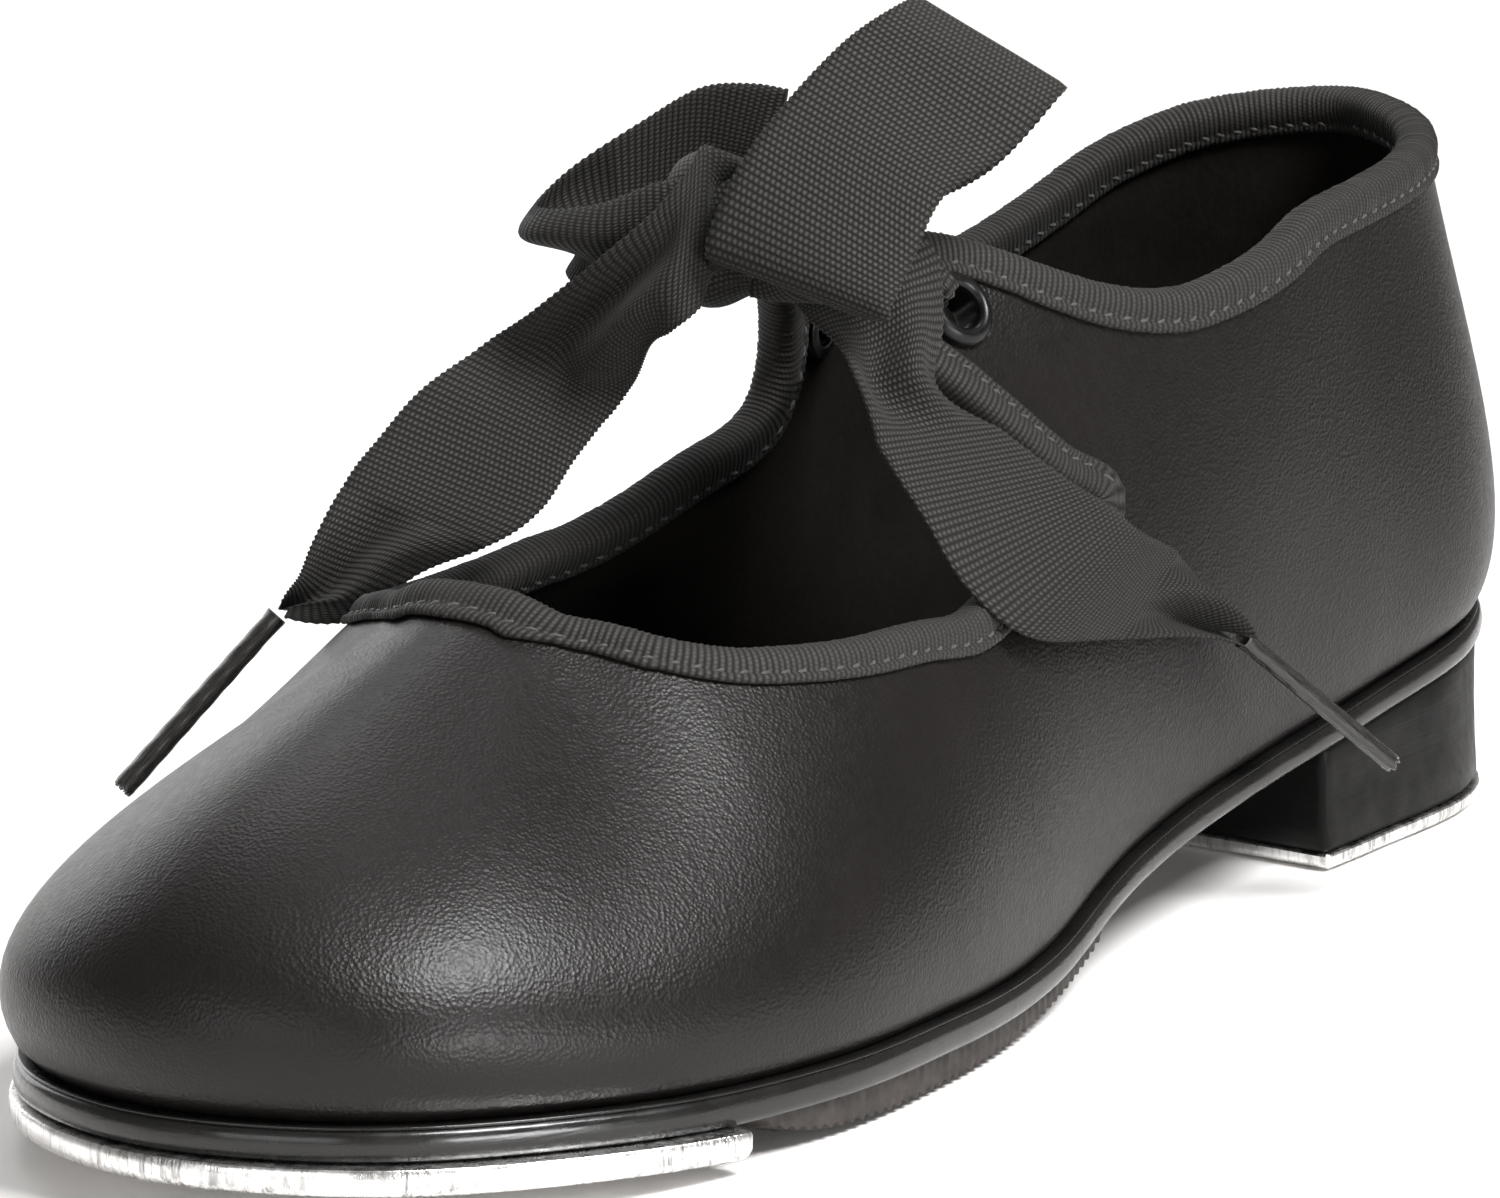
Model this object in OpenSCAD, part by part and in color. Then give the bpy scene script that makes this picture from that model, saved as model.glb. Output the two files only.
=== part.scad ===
// Ribbon-tie tap shoe, child's size, left foot.
// Origin: centre of the heel tap's ground face. Toe towards -Y, outer side of the foot +X.
// A place on the shell of the upper is given as [u, v]. u runs round the sole edge over 24
// stations, from 0 at the back of the heel, past the outer side, to 12 at the toe, and back
// along the inner side. v runs from 0 at the sole to 1 at the crown of the closed last.

/* [Upper] */
// Thickness of the outer leather
upper_t = 0.9; // [0.6:0.1:1.0]
// Thickness of the fabric lining
lining_t = 0.7; // [0.4:0.1:0.8]
// Thickness of the heel counter and toe puff
stiffener_t = 0.45; // [0.3:0.05:0.45]
// Depth of the binding leg below the topline
binding_leg = 3.4; // [2.5:0.1:4]
// Thickness of the binding tape
binding_t = 0.55; // [0.4:0.05:0.7]

/* [Sole] */
// How far the upper stands in from the sole edge
sole_lip = 1.2; // [0.8:0.1:2]
// Thickness of the insole board
board_t = 1.2; // [0.8:0.1:1.6]
// Thickness of the padded sock liner
sock_t = 1.4; // [1:0.1:2]
// Thickness of the shank and of the bottom filler beside it
shank_t = 1.0; // [0.8:0.1:1.2]
// Width of the steel shank
shank_w = 12; // [9:0.5:14]

/* [Taps and heel] */
// Thickness of the toe tap
toe_tap_t = 2.7; // [2:0.1:3]
// How far the toe tap stands out past the sole edge
toe_tap_proud = 1; // [0.5:0.1:1.5]
// Thickness of the heel tap
heel_tap_t = 1.6; // [1.2:0.1:2.2]
// Head diameter of a tap screw
screw_head_d = 5.2; // [4.4:0.1:6]
// Shank diameter of a tap screw
screw_d = 2.6; // [2:0.1:3]
// Diameter of a heel nail
nail_d = 1.8; // [1.4:0.1:2.2]

/* [Ribbon and eyelets] */
// Thickness of the ribbon
ribbon_t = 0.7; // [0.5:0.1:0.9]
// Diameter of an eyelet's flange
eyelet_d = 7.6; // [7:0.1:8.4]
// Bore of an eyelet
eyelet_bore = 4.2; // [3.6:0.1:4.6]
// Length of a ribbon's end tip
aglet_l = 22; // [18:1:24]
// Diameter of a ribbon's end tip
aglet_d = 2.6; // [2:0.1:3]

/* [Hidden] */
$fn = 48;

gap = 0.05;         // room between stacked layers
stations = 24;
sole_steps = 4;     // outline points per station
board_inset = 4.2;  // from the sole edge to the insole board, inside the upper and lining
sock_inset = 4.4;

// Sole outline, outer side from heel back to toe tip, then inner side from heel to toe.
outer_edge = [[0, 23], [14, 18.5], [21.8, 6.5], [23.3, -12.5], [23.8, -31.5], [25, -48],
    [28, -64], [33, -82], [37, -102], [38.3, -124], [33.5, -147], [20.5, -167.5], [0, -175.8]];
inner_edge = [[14, 18.5], [21, 6.5], [21.6, -12.5], [21, -31.5], [21.5, -48], [24, -64],
    [29.5, -82], [35, -102], [37.5, -124], [33.5, -149], [20.5, -168.5]];

// Crown of the closed last and how each rib bows, outer side stations 0 to 12:
// x, y, z of the crown end, then out and up at the foot, then out and up at the crown.
crown = [[0, 19, 74.5, 6.5, 12, 2, -19.5], [11, 13.5, 74, 7, 10, 2, -19.5],
    [18, 2, 72, 7.5, 8.5, 2, -18], [20.5, -16, 69.5, 6, 13, 2, -16],
    [20, -36, 68, 4, 18, 4, -14], [11, -60, 70.5, 3.5, 20, 8, -8],
    [2, -77, 71, 3.5, 20, 15, -2], [1, -95.5, 62, 3.5, 19.5, 20, -2.5],
    [4, -110.5, 54, 5, 16, 18.5, -4.5], [7.5, -119.5, 49, 6, 13, 14.5, -8],
    [8.5, -124, 46.5, 8, 13.5, 9.5, -11], [4.5, -126, 47.5, 13, 18, 7, -9.5],
    [0, -126.5, 47.5, 14.5, 22.5, 6.5, -5.5]];

// Underside of the sole and its thickness, as [y, mm] from toe to heel.
sole_under = [[-176, 6.3], [-156, 5.15], [-135, 4], [-108, 3.35], [-83, 3.5], [-58, 7.7],
    [-23, 12.2], [24.5, 18.3]];
sole_thick = [[-176, 3.4], [-110, 3.4], [-60, 2.8], [-20, 2.8], [24, 3.2]];

// Topline as [u, v] points. The inner side counts its stations from the heel too.
collar_outer = [[0, .915], [1.1, .91], [2.1, .92], [3.1, .93], [3.55, .90], [3.95, .87],
    [4.3, .835], [4.6, .835], [4.85, .865], [5.05, .905], [5.25, .94], [5.5, .955],
    [5.8, .945], [6.02, .90]];
collar_inner = [[0, .915], [1, .91], [1.5, .905], [2.1, .88], [2.55, .84], [3.1, .80],
    [3.6, .785], [4, .80], [4.3, .85], [4.55, .905], [4.8, .94], [5.05, .955], [5.3, .93],
    [5.4, .88]];
tab_front_outer = [[5.27, .475], [5.4, .488], [5.58, .507], [5.8, .56], [6, .63],
    [6.15, .70], [6.22, .77], [6.17, .84], [6.02, .90]];
tab_front_inner = [[5.35, .53], [5.2, .56], [5.1, .61], [5.07, .67], [5.12, .74],
    [5.25, .81], [5.4, .88]];
lip_outer = [[5.27, .475], [5.38, .458], [5.6, .445], [5.9, .44], [6.3, .445], [6.7, .457],
    [7, .475], [7.35, .52], [7.75, .57], [8.15, .63], [8.55, .70], [8.95, .79], [9.3, .87],
    [9.7, .93], [10.3, .965], [11.1, .98], [12, .99]];
lip_inner = [[5.35, .53], [5.64, .503], [6.05, .49], [6.5, .488], [6.85, .50], [7.1, .52],
    [7.55, .555], [8.1, .62], [8.55, .70], [8.95, .79], [9.3, .87], [9.7, .93],
    [10.3, .965], [11.1, .98], [12, .99]];

outer_eyelet_at = [5.66, .76];
inner_eyelet_at = [stations - 4.66, .71];

// Ribbon pieces: each section is the two edges of the ribbon, from the knot outwards. A lead
// stays with the knot; its tail starts where the lead ends and swings about that line.
knot_top = [-4.5, -79, 75];
knot_foot = [-3.5, -81, 69.5];
knot_r = 4;
lead_outer = [[[-3, -75.5, 76.5], [-3, -78, 67]], [[3, -75, 77], [0, -79, 66]],
    [[9.5, -74.5, 76], [3.5, -81, 66]], [[13.5, -72, 70.5], [6.5, -83, 65]]];
tail_outer = [[[13.7, -72.2, 70], [6.8, -83.2, 64.5]], [[15.4, -73, 64.4], [10.4, -84, 62.7]],
    [[17.1, -76, 58.9], [13, -85.3, 59.7]], [[20, -71, 53.6], [16.8, -86, 54.4]],
    [[23.2, -65, 48], [20.8, -85, 48]], [[24.6, -60.5, 44.8], [24.8, -83.8, 41.5]],
    [[25.2, -56.4, 41.6], [29, -79.5, 36.4]], [[26.4, -51.7, 37.2], [28, -64.7, 33]],
    [[27, -46.7, 33], [27.4, -52.8, 30.6]], [[27.2, -42.3, 29.8], [26.8, -43.2, 28.1]]];
lead_inner = [[[-3.1, -81.5, 78.5], [-2.5, -83.6, 68.4]], [[-3.2, -85.4, 81.1], [-1.7, -89, 66.2]],
    [[-3.6, -87.8, 78.6], [-3.2, -91.1, 64.5]], [[-5.3, -89.1, 75.7], [-6.4, -91.2, 62.8]],
    [[-10, -90.5, 71.4], [-9.5, -91.7, 60.3]], [[-17, -91.2, 66.3], [-11.5, -91.7, 57.6]],
    [[-24.6, -92.2, 62.7], [-11.1, -90.2, 56.6]]];
tail_inner = [[[-25.3, -92.2, 62.3], [-11.8, -90.2, 56.2]],
    [[-27.8, -98, 57.7], [-13.2, -93.8, 51.5]], [[-29.5, -103, 53.4], [-14, -98, 47.5]],
    [[-30.4, -106.6, 50.2], [-16.5, -102, 44.8]], [[-31.2, -110.6, 44.8], [-22.3, -106.3, 42.4]],
    [[-31.6, -113, 41.4], [-26.5, -110.5, 38.5]], [[-32.2, -115.3, 39.8], [-31.4, -115, 38.6]]];
loop_outer = [[[-3, -74, 79], [-1, -75, 70.5]], [[1, -73, 81], [8, -72, 73]],
    [[5, -68.5, 88.5], [14, -64, 76.5]], [[8.5, -67, 93], [20, -60, 84]],
    [[9, -71.5, 93], [21, -63.5, 83.5]], [[7, -76.5, 90.5], [19.5, -69, 79.5]],
    [[4.5, -82.5, 85.5], [17.5, -76, 76.5]], [[2.5, -87, 80.5], [17, -80.5, 71]],
    [[.5, -89.5, 74.5], [17, -84, 67.5]], [[-.5, -89, 71.5], [15.5, -83.5, 66]],
    [[-2, -84.5, 71], [4, -83, 67.5]]];
loop_inner = [[[-4, -71, 84], [-6, -75.4, 73]], [[-8, -71.5, 84.3], [-9, -75.5, 71.5]],
    [[-13, -73, 83.7], [-12.7, -75.7, 69.5]], [[-17.8, -76.2, 80.5], [-16.6, -78.6, 67]],
    [[-22.3, -80.7, 76.7], [-18.9, -82, 67]], [[-22.8, -85.6, 74.2], [-19.8, -85.6, 67.8]],
    [[-19.3, -89.4, 74.2], [-16.7, -88.4, 67]], [[-12.7, -89.3, 75.3], [-11.9, -89.4, 65.5]],
    [[-7.3, -87, 77.5], [-6.5, -87.5, 66]], [[-3.5, -83, 77], [-3.5, -84.5, 68]]];
span_half_w = 1.4;
span_half_t = 0.45;
aglet_outer_dir = [7.5, 15, -15];
aglet_inner_dir = [-9.5, -12.5, -15.5];
aglet_start = .8;   // from the ribbon's last section to its tip

// ---------- curves ----------

function mix(a, b, f) = a + (b - a) * f;
function unit(a) = a / norm(a);

// Smooth curve through four neighbours at fraction f between b and c.
function spline4(a, b, c, d, f) =
    0.5 * (2 * b + (c - a) * f + (2 * a - 5 * b + 4 * c - d) * f * f
        + (3 * b - a - 3 * c + d) * f * f * f);

// Closed and open smooth curves through a list, at place t counted in list steps.
function closed_at(list, t) =
    let (n = len(list), i = floor(t), f = t - i, j = i + n)
    spline4(list[(j - 1) % n], list[j % n], list[(j + 1) % n], list[(j + 2) % n], f);
function open_at(list, t) =
    let (m = len(list) - 1, i = min(floor(t), m - 1), f = t - i)
    spline4(list[max(i - 1, 0)], list[i], list[i + 1], list[min(i + 2, m)], f);
function open_curve(list, steps) =
    [for (k = [0 : (len(list) - 1) * steps]) open_at(list, k / steps)];

// Smooth value from a table of [x, value] rows.
function slope(t, i) =
    let (a = max(i - 1, 0), b = min(i + 1, len(t) - 1)) (t[b][1] - t[a][1]) / (t[b][0] - t[a][0]);
function row_at(t, x, i = 0) = i >= len(t) - 2 || x < t[i + 1][0] ? i : row_at(t, x, i + 1);
function table_at(t, x) =
    let (i = row_at(t, x), w = t[i + 1][0] - t[i][0], f = min(max((x - t[i][0]) / w, 0), 1),
        g = 1 - f)
    t[i][1] * g * g * (1 + 2 * f) + t[i + 1][1] * f * f * (3 - 2 * f)
        + w * f * g * (g * slope(t, i) - f * slope(t, i + 1));

// ---------- last and sole ----------

function mirror_row(a, s) = [s * a[0], a[1], a[2], a[3], a[4], a[5], a[6]];
ribs = [for (k = [0 : stations - 1])
    let (outer = k <= 12, m = outer ? k : stations - k, s = outer ? 1 : -1,
        edge = outer ? outer_edge[m] : [-inner_edge[m - 1][0], inner_edge[m - 1][1]])
    concat(edge, mirror_row(crown[m], s))];

function under_z(y) = table_at(sole_under, y);
function seat_z(y) = under_z(y) + table_at(sole_thick, y);
function outward(u) =
    let (t = closed_at(ribs, u + .02) - closed_at(ribs, u - .02), l = norm([t[0], t[1]]))
    [-t[1] / l, t[0] / l];

// Point of the upper's outer face.
function shell(u, v) =
    let (w = u < 0 ? u + stations : u, r = closed_at(ribs, w), n = outward(w), g = 1 - v,
        fx = r[0] - n[0] * sole_lip, fy = r[1] - n[1] * sole_lip,
        p0 = [fx, fy, seat_z(fy)],
        p1 = p0 + [n[0] * r[5], n[1] * r[5], r[6]],
        p3 = [r[2], r[3], r[4]],
        p2 = p3 + [n[0] * r[7], n[1] * r[7], r[8]])
    p0 * g * g * g + p1 * 3 * v * g * g + p2 * 3 * v * v * g + p3 * v * v * v;
function shell_normal(u, v) =
    let (e = .02, vv = min(max(v, .01), .985))
    unit(cross(shell(u, vv + e / 2) - shell(u, vv - e / 2), shell(u + e, vv) - shell(u - e, vv)));
// Point at depth d under the outer face. The lowest row stays level on the sole.
function inside(u, v, d) =
    let (n = shell_normal(u, v), flat = unit([n[0], n[1], 0]), f = min(v / .06, 1))
    shell(u, v) - d * unit(mix(flat, n, f));

function outline_at(u, inset) =
    let (w = u < 0 ? u + stations : u, r = closed_at(ribs, w), n = outward(w))
    [r[0] - n[0] * inset, r[1] - n[1] * inset];
module outline(inset) {
    polygon([for (k = [0 : stations * sole_steps - 1]) outline_at(k / sole_steps, inset)]);
}
// Slab that follows the sole's side view, from depth a to depth b above its underside.
module side_slab(y0, y1, low, high) {
    steps = 36;
    ys = [for (k = [0 : steps]) mix(y0, y1, k / steps)];
    translate([-60, 0, 0]) rotate([90, 0, 90]) linear_extrude(120)
        polygon(concat([for (y = ys) [y, low == 0 ? under_z(y) : seat_z(y) + low]],
            [for (k = [steps : -1 : 0]) [ys[k], seat_z(ys[k]) + high]]));
}
module sole_layer(inset, low, high) {
    intersection() {
        linear_extrude(60) outline(inset);
        side_slab(-178, 26, low, high);
    }
}

// ---------- screws and nails ----------

toe_slope = atan((sole_under[0][1] - sole_under[2][1]) / (sole_under[2][0] - sole_under[0][0]));
toe_screws = [[0, -166], [17, -148], [-17, -148]];
heel_screws = [[0, 15], [13, -12], [-13, -12]];
nails = [[-8, 6], [8, 6], [-9, -4], [9, -4], [0, -12]];
screw_l = 5.3;
heel_screw_l = 11;
nail_l = 13;

// Turns its children from level at y = -135 into the plane of the toe tap's upper face.
module on_toe_plane() {
    translate([0, sole_under[2][0], sole_under[2][1] - 2 * gap]) rotate([-toe_slope, 0, 0])
        translate([0, -sole_under[2][0], 0]) children();
}
module screw(length) {
    difference() {
        union() {
            cylinder(h = 1.4, d1 = screw_head_d, d2 = screw_d);
            translate([0, 0, 1.39]) cylinder(h = length - 1.39, d = screw_d);
        }
        translate([0, 0, -.1]) cylinder(h = .7, d = 1.4);
    }
}
module screw_hole(length) {
    translate([0, 0, -1]) cylinder(h = length + 1.05, d = screw_d + .04);
    translate([0, 0, -.02]) cylinder(h = 1.44, d1 = screw_head_d + .1, d2 = screw_d + .06);
}
module toe_screw_places() {
    on_toe_plane() for (p = toe_screws) translate([p[0], p[1], -toe_tap_t]) children();
}
module heel_screw_places() {
    for (p = heel_screws) translate([p[0], p[1], 0]) children();
}
module nail_places() {
    for (p = nails) translate([p[0], p[1], 0]) children();
}
module nail_holes() {
    nail_places() cylinder(h = 40, d = nail_d + .04);
}

// ---------- sole unit ----------

module outsole() {
    color("#161514") difference() {
        sole_layer(0, 0, 0);
        toe_screw_places() screw_hole(screw_l);
        nail_holes();
    }
}

pad_profile = [[-133.5, 3.8], [-131, 2.2], [-125, .7], [-116, .06], [-108, 0], [-98, 0],
    [-88, .4], [-78, 1.6], [-70, 3.2], [-67, 4.2]];
pad_inset = 1;
module grip_pad() {
    steps = 30;
    last = len(pad_profile) - 1;
    ys = [for (k = [0 : steps]) mix(pad_profile[0][0], pad_profile[last][0], k / steps)];
    color("#1b1816") intersection() {
        linear_extrude(12) outline(pad_inset);
        translate([-50, 0, 0]) rotate([90, 0, 90]) linear_extrude(100)
            polygon(concat([for (y = ys) [y, min(table_at(pad_profile, y), under_z(y) - .2)]],
                [for (k = [steps : -1 : 0]) [ys[k], under_z(ys[k]) - gap]]));
    }
}

tap_back_y = -136;
tap_arc_r = 46;     // hollow of the toe tap's rear edge
tap_arc_y = -94;
module toe_tap() {
    color("#c9ccce") difference() {
        on_toe_plane() translate([0, 0, -toe_tap_t]) difference() {
            linear_extrude(toe_tap_t) intersection() {
                outline(-toe_tap_proud);
                translate([-50, -200]) square([100, 200 + tap_back_y]);
            }
            translate([0, tap_arc_y, -1]) cylinder(h = toe_tap_t + 2, r = tap_arc_r, $fn = 96);
        }
        toe_screw_places() screw_hole(screw_l);
    }
}
module toe_tap_screws() {
    color("#8f9193") toe_screw_places() translate([0, 0, .02]) screw(screw_l);
}

heel_front_y = -22.5;
heel_inset = .7;    // heel block and heel tap stand in from the sole edge
heel_tap_inset = .4;
module heel_shape(inset) {
    intersection() {
        outline(inset);
        translate([-40, heel_front_y + inset]) square([80, 60]);
    }
}
module heel_block() {
    color("#171615") difference() {
        intersection() {
            translate([0, 0, heel_tap_t + gap]) linear_extrude(30) heel_shape(heel_inset);
            translate([-60, 0, 0]) rotate([90, 0, 90]) linear_extrude(120)
                polygon(concat([[30, 0], [-30, 0]],
                    [for (y = [-30 : 3 : 30]) [y, under_z(min(y, 24.5)) - gap]]));
        }
        heel_screw_places() screw_hole(heel_screw_l);
        nail_holes();
    }
}
module heel_tap() {
    color("#c9ccce") difference() {
        linear_extrude(heel_tap_t) heel_shape(heel_tap_inset);
        heel_screw_places() screw_hole(heel_screw_l);
    }
}
module heel_tap_screws() {
    color("#8f9193") heel_screw_places() translate([0, 0, .02]) screw(heel_screw_l);
}
module heel_nails() {
    color("#77797b") for (p = nails)
        translate([p[0], p[1], seat_z(p[1]) + gap + shank_t + board_t - nail_l])
            cylinder(h = nail_l, d = nail_d);
}

shank_y0 = -78;
shank_y1 = -24;
module shank() {
    color("#8a8d90") intersection() {
        translate([0, 0, 5]) linear_extrude(40) hull() {
            for (y = [shank_y0, shank_y1]) translate([0, y]) circle(d = shank_w);
        }
        side_slab(-90, -15, gap, gap + shank_t);
    }
}
module bottom_filler() {
    color("#8b6f4e") intersection() {
        linear_extrude(60) outline(board_inset);
        side_slab(-168, -86, gap, gap + shank_t);
    }
}
module insole_board() {
    low = 2 * gap + shank_t;
    color("#a98a60") difference() {
        sole_layer(board_inset, low, low + board_t);
        nail_holes();
    }
}
module sock_liner() {
    low = 3 * gap + shank_t + board_t;
    color("#2e2b2a") sole_layer(sock_inset, low, low + sock_t);
}

// ---------- upper ----------

low_rows = 8;      // rows below the notches
tab_rows = 5;      // rows beside the front edge of a tab
collar_cols = 22;  // columns from heel to tab, each side
foot_v = .003;     // the sheets stop just clear of the sole
lip_steps = 2;     // columns per step of a lip list

// [u, v] of a point of the quarter panel, column i from the heel, row j from the sole. The
// panel is blended between its four sides: heel back, sole edge, collar and tab front.
function quarter_uv(collar, front, i, j) =
    let (r = i / collar_cols, s = j / (low_rows + tab_rows),
        top = open_at(collar, r * (len(collar) - 1)),
        edge = j <= low_rows ? [front[0][0], front[0][1] * j / low_rows]
            : open_at(front, (j - low_rows) / tab_rows * (len(front) - 1)))
    r * edge + s * (top - r * collar[len(collar) - 1]);

// Columns of the whole shell, from the heel round the outer side to the heel again.
function flip(p) = [stations - p[0], p[1]];
function reverse(list) = [for (k = [len(list) - 1 : -1 : 0]) list[k]];
rows = low_rows + tab_rows;
quarter_outer = [for (i = [0 : collar_cols]) [for (j = [0 : rows])
    quarter_uv(collar_outer, tab_front_outer, i, j)]];
quarter_inner = [for (i = [0 : collar_cols]) [for (j = [0 : rows])
    quarter_uv(collar_inner, tab_front_inner, i, j)]];
function vamp_columns(lip) = [for (p = open_curve(lip, lip_steps)) [for (j = [0 : low_rows])
    [p[0], p[1] * j / low_rows]]];
vamp_outer = vamp_columns(lip_outer);
vamp_inner = vamp_columns(lip_inner);
function flip_column(c) = [for (p = c) flip(p)];

// Full columns: the tab rows of a vamp column stay empty.
shell_columns = concat(
    [for (i = [0 : collar_cols]) quarter_outer[i]],
    [for (k = [1 : len(vamp_outer) - 1]) vamp_outer[k]],
    [for (k = [len(vamp_inner) - 2 : -1 : 1]) flip_column(vamp_inner[k])],
    [for (i = [collar_cols : -1 : 1]) flip_column(quarter_inner[i])]);
column_count = len(shell_columns);
first_seam = collar_cols;
second_seam = column_count - collar_cols;
function is_quad(i, j) = j < low_rows || i < first_seam || i >= second_seam;

// Closed sheet between two depths under the outer face, over the cells of the grid of
// columns and rows that keep(i, j) picks.
module sheet(near, deep, keep) {
    n = column_count;
    w = rows + 1;
    function at(side, i, j) = side * n * w + ((i + n) % n) * w + j;
    function cell(i, j) = let (k = (i + n) % n) j >= 0 && j < rows && is_quad(k, j) && keep(k, j);
    function quad(a, b, c, d) = [[a, b, c], [a, c, d]];
    points = [for (d = [near, deep]) for (c = shell_columns) for (j = [0 : rows])
        let (q = c[min(j, len(c) - 1)]) inside(q[0], max(q[1], foot_v), d)];
    faces = [for (i = [0 : n - 1]) for (j = [0 : rows - 1]) if (cell(i, j)) each concat(
        quad(at(0, i, j), at(0, i + 1, j), at(0, i + 1, j + 1), at(0, i, j + 1)),
        quad(at(1, i, j), at(1, i, j + 1), at(1, i + 1, j + 1), at(1, i + 1, j)),
        cell(i, j - 1) ? [] : quad(at(0, i, j), at(1, i, j), at(1, i + 1, j), at(0, i + 1, j)),
        cell(i, j + 1) ? []
            : quad(at(0, i, j + 1), at(0, i + 1, j + 1), at(1, i + 1, j + 1), at(1, i, j + 1)),
        cell(i - 1, j) ? [] : quad(at(0, i, j), at(0, i, j + 1), at(1, i, j + 1), at(1, i, j)),
        cell(i + 1, j) ? []
            : quad(at(0, i + 1, j), at(1, i + 1, j), at(1, i + 1, j + 1), at(0, i + 1, j + 1)))];
    polyhedron(points, faces, convexity = 10);
}

// Sets its children on the shell at [u, v], with +Z pointing out of the shoe.
module on_shell(place) {
    p = shell(place[0], place[1]);
    n = shell_normal(place[0], place[1]);
    translate(p) rotate([0, acos(n[2]), atan2(n[1], n[0])]) children();
}
module eyelet_holes() {
    for (place = [outer_eyelet_at, inner_eyelet_at])
        on_shell(place) translate([0, 0, -6]) cylinder(h = 12, d = eyelet_bore + 1.2);
}

lining_near = upper_t + stiffener_t + 3 * gap;
lining_deep = lining_near + lining_t;
stiffener_near = upper_t + gap;
stiffener_deep = stiffener_near + stiffener_t;
module upper() {
    color("#1c1c1d") difference() {
        sheet(0, upper_t, function (i, j) true);
        eyelet_holes();
    }
}
module lining() {
    color("#2b2625") difference() {
        sheet(lining_near, lining_deep, function (i, j) true);
        eyelet_holes();
    }
}
counter_cols = 17;  // columns each side of the heel
counter_rows = 8;
module heel_counter() {
    color("#9a9284") sheet(stiffener_near, stiffener_deep, function (i, j)
        j < counter_rows && (i < counter_cols || i >= column_count - counter_cols));
}
puff_cols = 14;     // columns each side of the toe
puff_rows = 6;
module toe_puff() {
    toe = floor(column_count / 2);
    color("#9a9284") sheet(stiffener_near, stiffener_deep, function (i, j)
        j < puff_rows && abs(i - toe) < puff_cols);
}

// ---------- binding ----------

topline = concat(
    open_curve(collar_outer, 3),
    [for (p = reverse(open_curve(tab_front_outer, 3))) if (p != tab_front_outer[8]) p],
    [for (p = open_curve(lip_outer, 3)) if (p != lip_outer[0]) p],
    [for (p = reverse(open_curve(lip_inner, 3))) if (p != lip_inner[14]) flip(p)],
    [for (p = open_curve(tab_front_inner, 3)) if (p != tab_front_inner[0]) flip(p)],
    [for (p = reverse(open_curve(collar_inner, 3))) if (p != collar_inner[13]
        && p != collar_inner[0]) flip(p)]);
// Change of [u, v] per millimetre along the direction d on the shell.
function uv_step(p, d) =
    let (e = .01, v = min(p[1], .98), a = (shell(p[0] + e, v) - shell(p[0] - e, v)) / (2 * e),
        b = (shell(p[0], v + e) - shell(p[0], v - e)) / (2 * e),
        aa = a * a, ab = a * b, bb = b * b, k = aa * bb - ab * ab)
    [bb * (a * d) - ab * (b * d), aa * (b * d) - ab * (a * d)] / k;
module topline_binding() {
    n = len(topline);
    near = 4 * gap;
    deep = lining_deep + 7 * gap;
    out_t = near + binding_t;
    // distance below the topline, height over the outer face
    section = [[binding_leg, near], [binding_leg, out_t], [binding_leg / 2, out_t], [.3, out_t],
        [-binding_t, .1], [-binding_t, -deep], [.3, -deep - binding_t],
        [binding_leg / 2, -deep - binding_t], [binding_leg, -deep - binding_t],
        [binding_leg, -deep], [binding_leg / 2, -deep], [-gap, -deep], [-gap, near],
        [binding_leg / 2, near]];
    m = len(section);
    here = [for (p = topline) shell(p[0], p[1])];
    points = [for (k = [0 : n - 1])
        let (t = unit(here[(k + 1) % n] - here[(k + n - 1) % n]),
            down = unit(cross(shell_normal(topline[k][0], topline[k][1]), t)),
            step = uv_step(topline[k], down))
        for (q = section)
            let (p = topline[k] + step * max(q[0], 0))
            shell(p[0], p[1]) + down * min(q[0], 0) + shell_normal(p[0], p[1]) * q[1]];
    faces = [for (k = [0 : n - 1]) for (q = [0 : m - 1]) each
        let (a = k * m + q, b = k * m + (q + 1) % m, c = ((k + 1) % n) * m + q,
            d = ((k + 1) % n) * m + (q + 1) % m) [[a, d, b], [a, c, d]]];
    color("#2a2828") polyhedron(points, faces, convexity = 12);
}

// ---------- eyelets ----------

flange_t = 1.1;
washer_w = 1.1;
module eyelet(place) {
    r = eyelet_bore / 2;
    deep = lining_deep + .9;
    color("#101010") on_shell(place) translate([0, 0, .35]) rotate_extrude($fn = 64)
        polygon([[r, flange_t - .45], [r + .35, flange_t], [eyelet_d / 2 - .8, flange_t],
            [eyelet_d / 2, .25], [eyelet_d / 2, 0], [r + .45, 0], [r + .45, -deep], [r, -deep]]);
}
module washer(place) {
    r = eyelet_bore / 2 + .5;
    color("#3a3a3a") on_shell(place) translate([0, 0, -lining_deep - 1]) rotate_extrude($fn = 64)
        polygon([[r, 0], [r + washer_w, 0], [r + washer_w, .35], [r, .35]]);
}

// ---------- ribbon ----------

// Band through a list of [edge, edge] sections.
module band(sections, t) {
    a = open_curve([for (s = sections) s[0]], 3);
    b = open_curve([for (s = sections) s[1]], 3);
    n = len(a);
    mid = (a + b) / 2;
    points = [for (k = [0 : n - 1])
        let (along = mid[min(k + 1, n - 1)] - mid[max(k - 1, 0)],
            out = unit(cross(along, a[k] - b[k])) * t / 2)
        for (p = [a[k] + out, b[k] + out, b[k] - out, a[k] - out]) p];
    walls = [for (k = [0 : n - 2]) for (q = [0 : 3]) each
        let (c = k * 4 + q, d = k * 4 + (q + 1) % 4) [[c, d + 4, d], [c, c + 4, d + 4]]];
    end = (n - 1) * 4;
    polyhedron(points, concat(walls, [[0, 2, 3], [0, 1, 2], [end, end + 2, end + 1],
        [end, end + 3, end + 2]]), convexity = 8);
}

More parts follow.
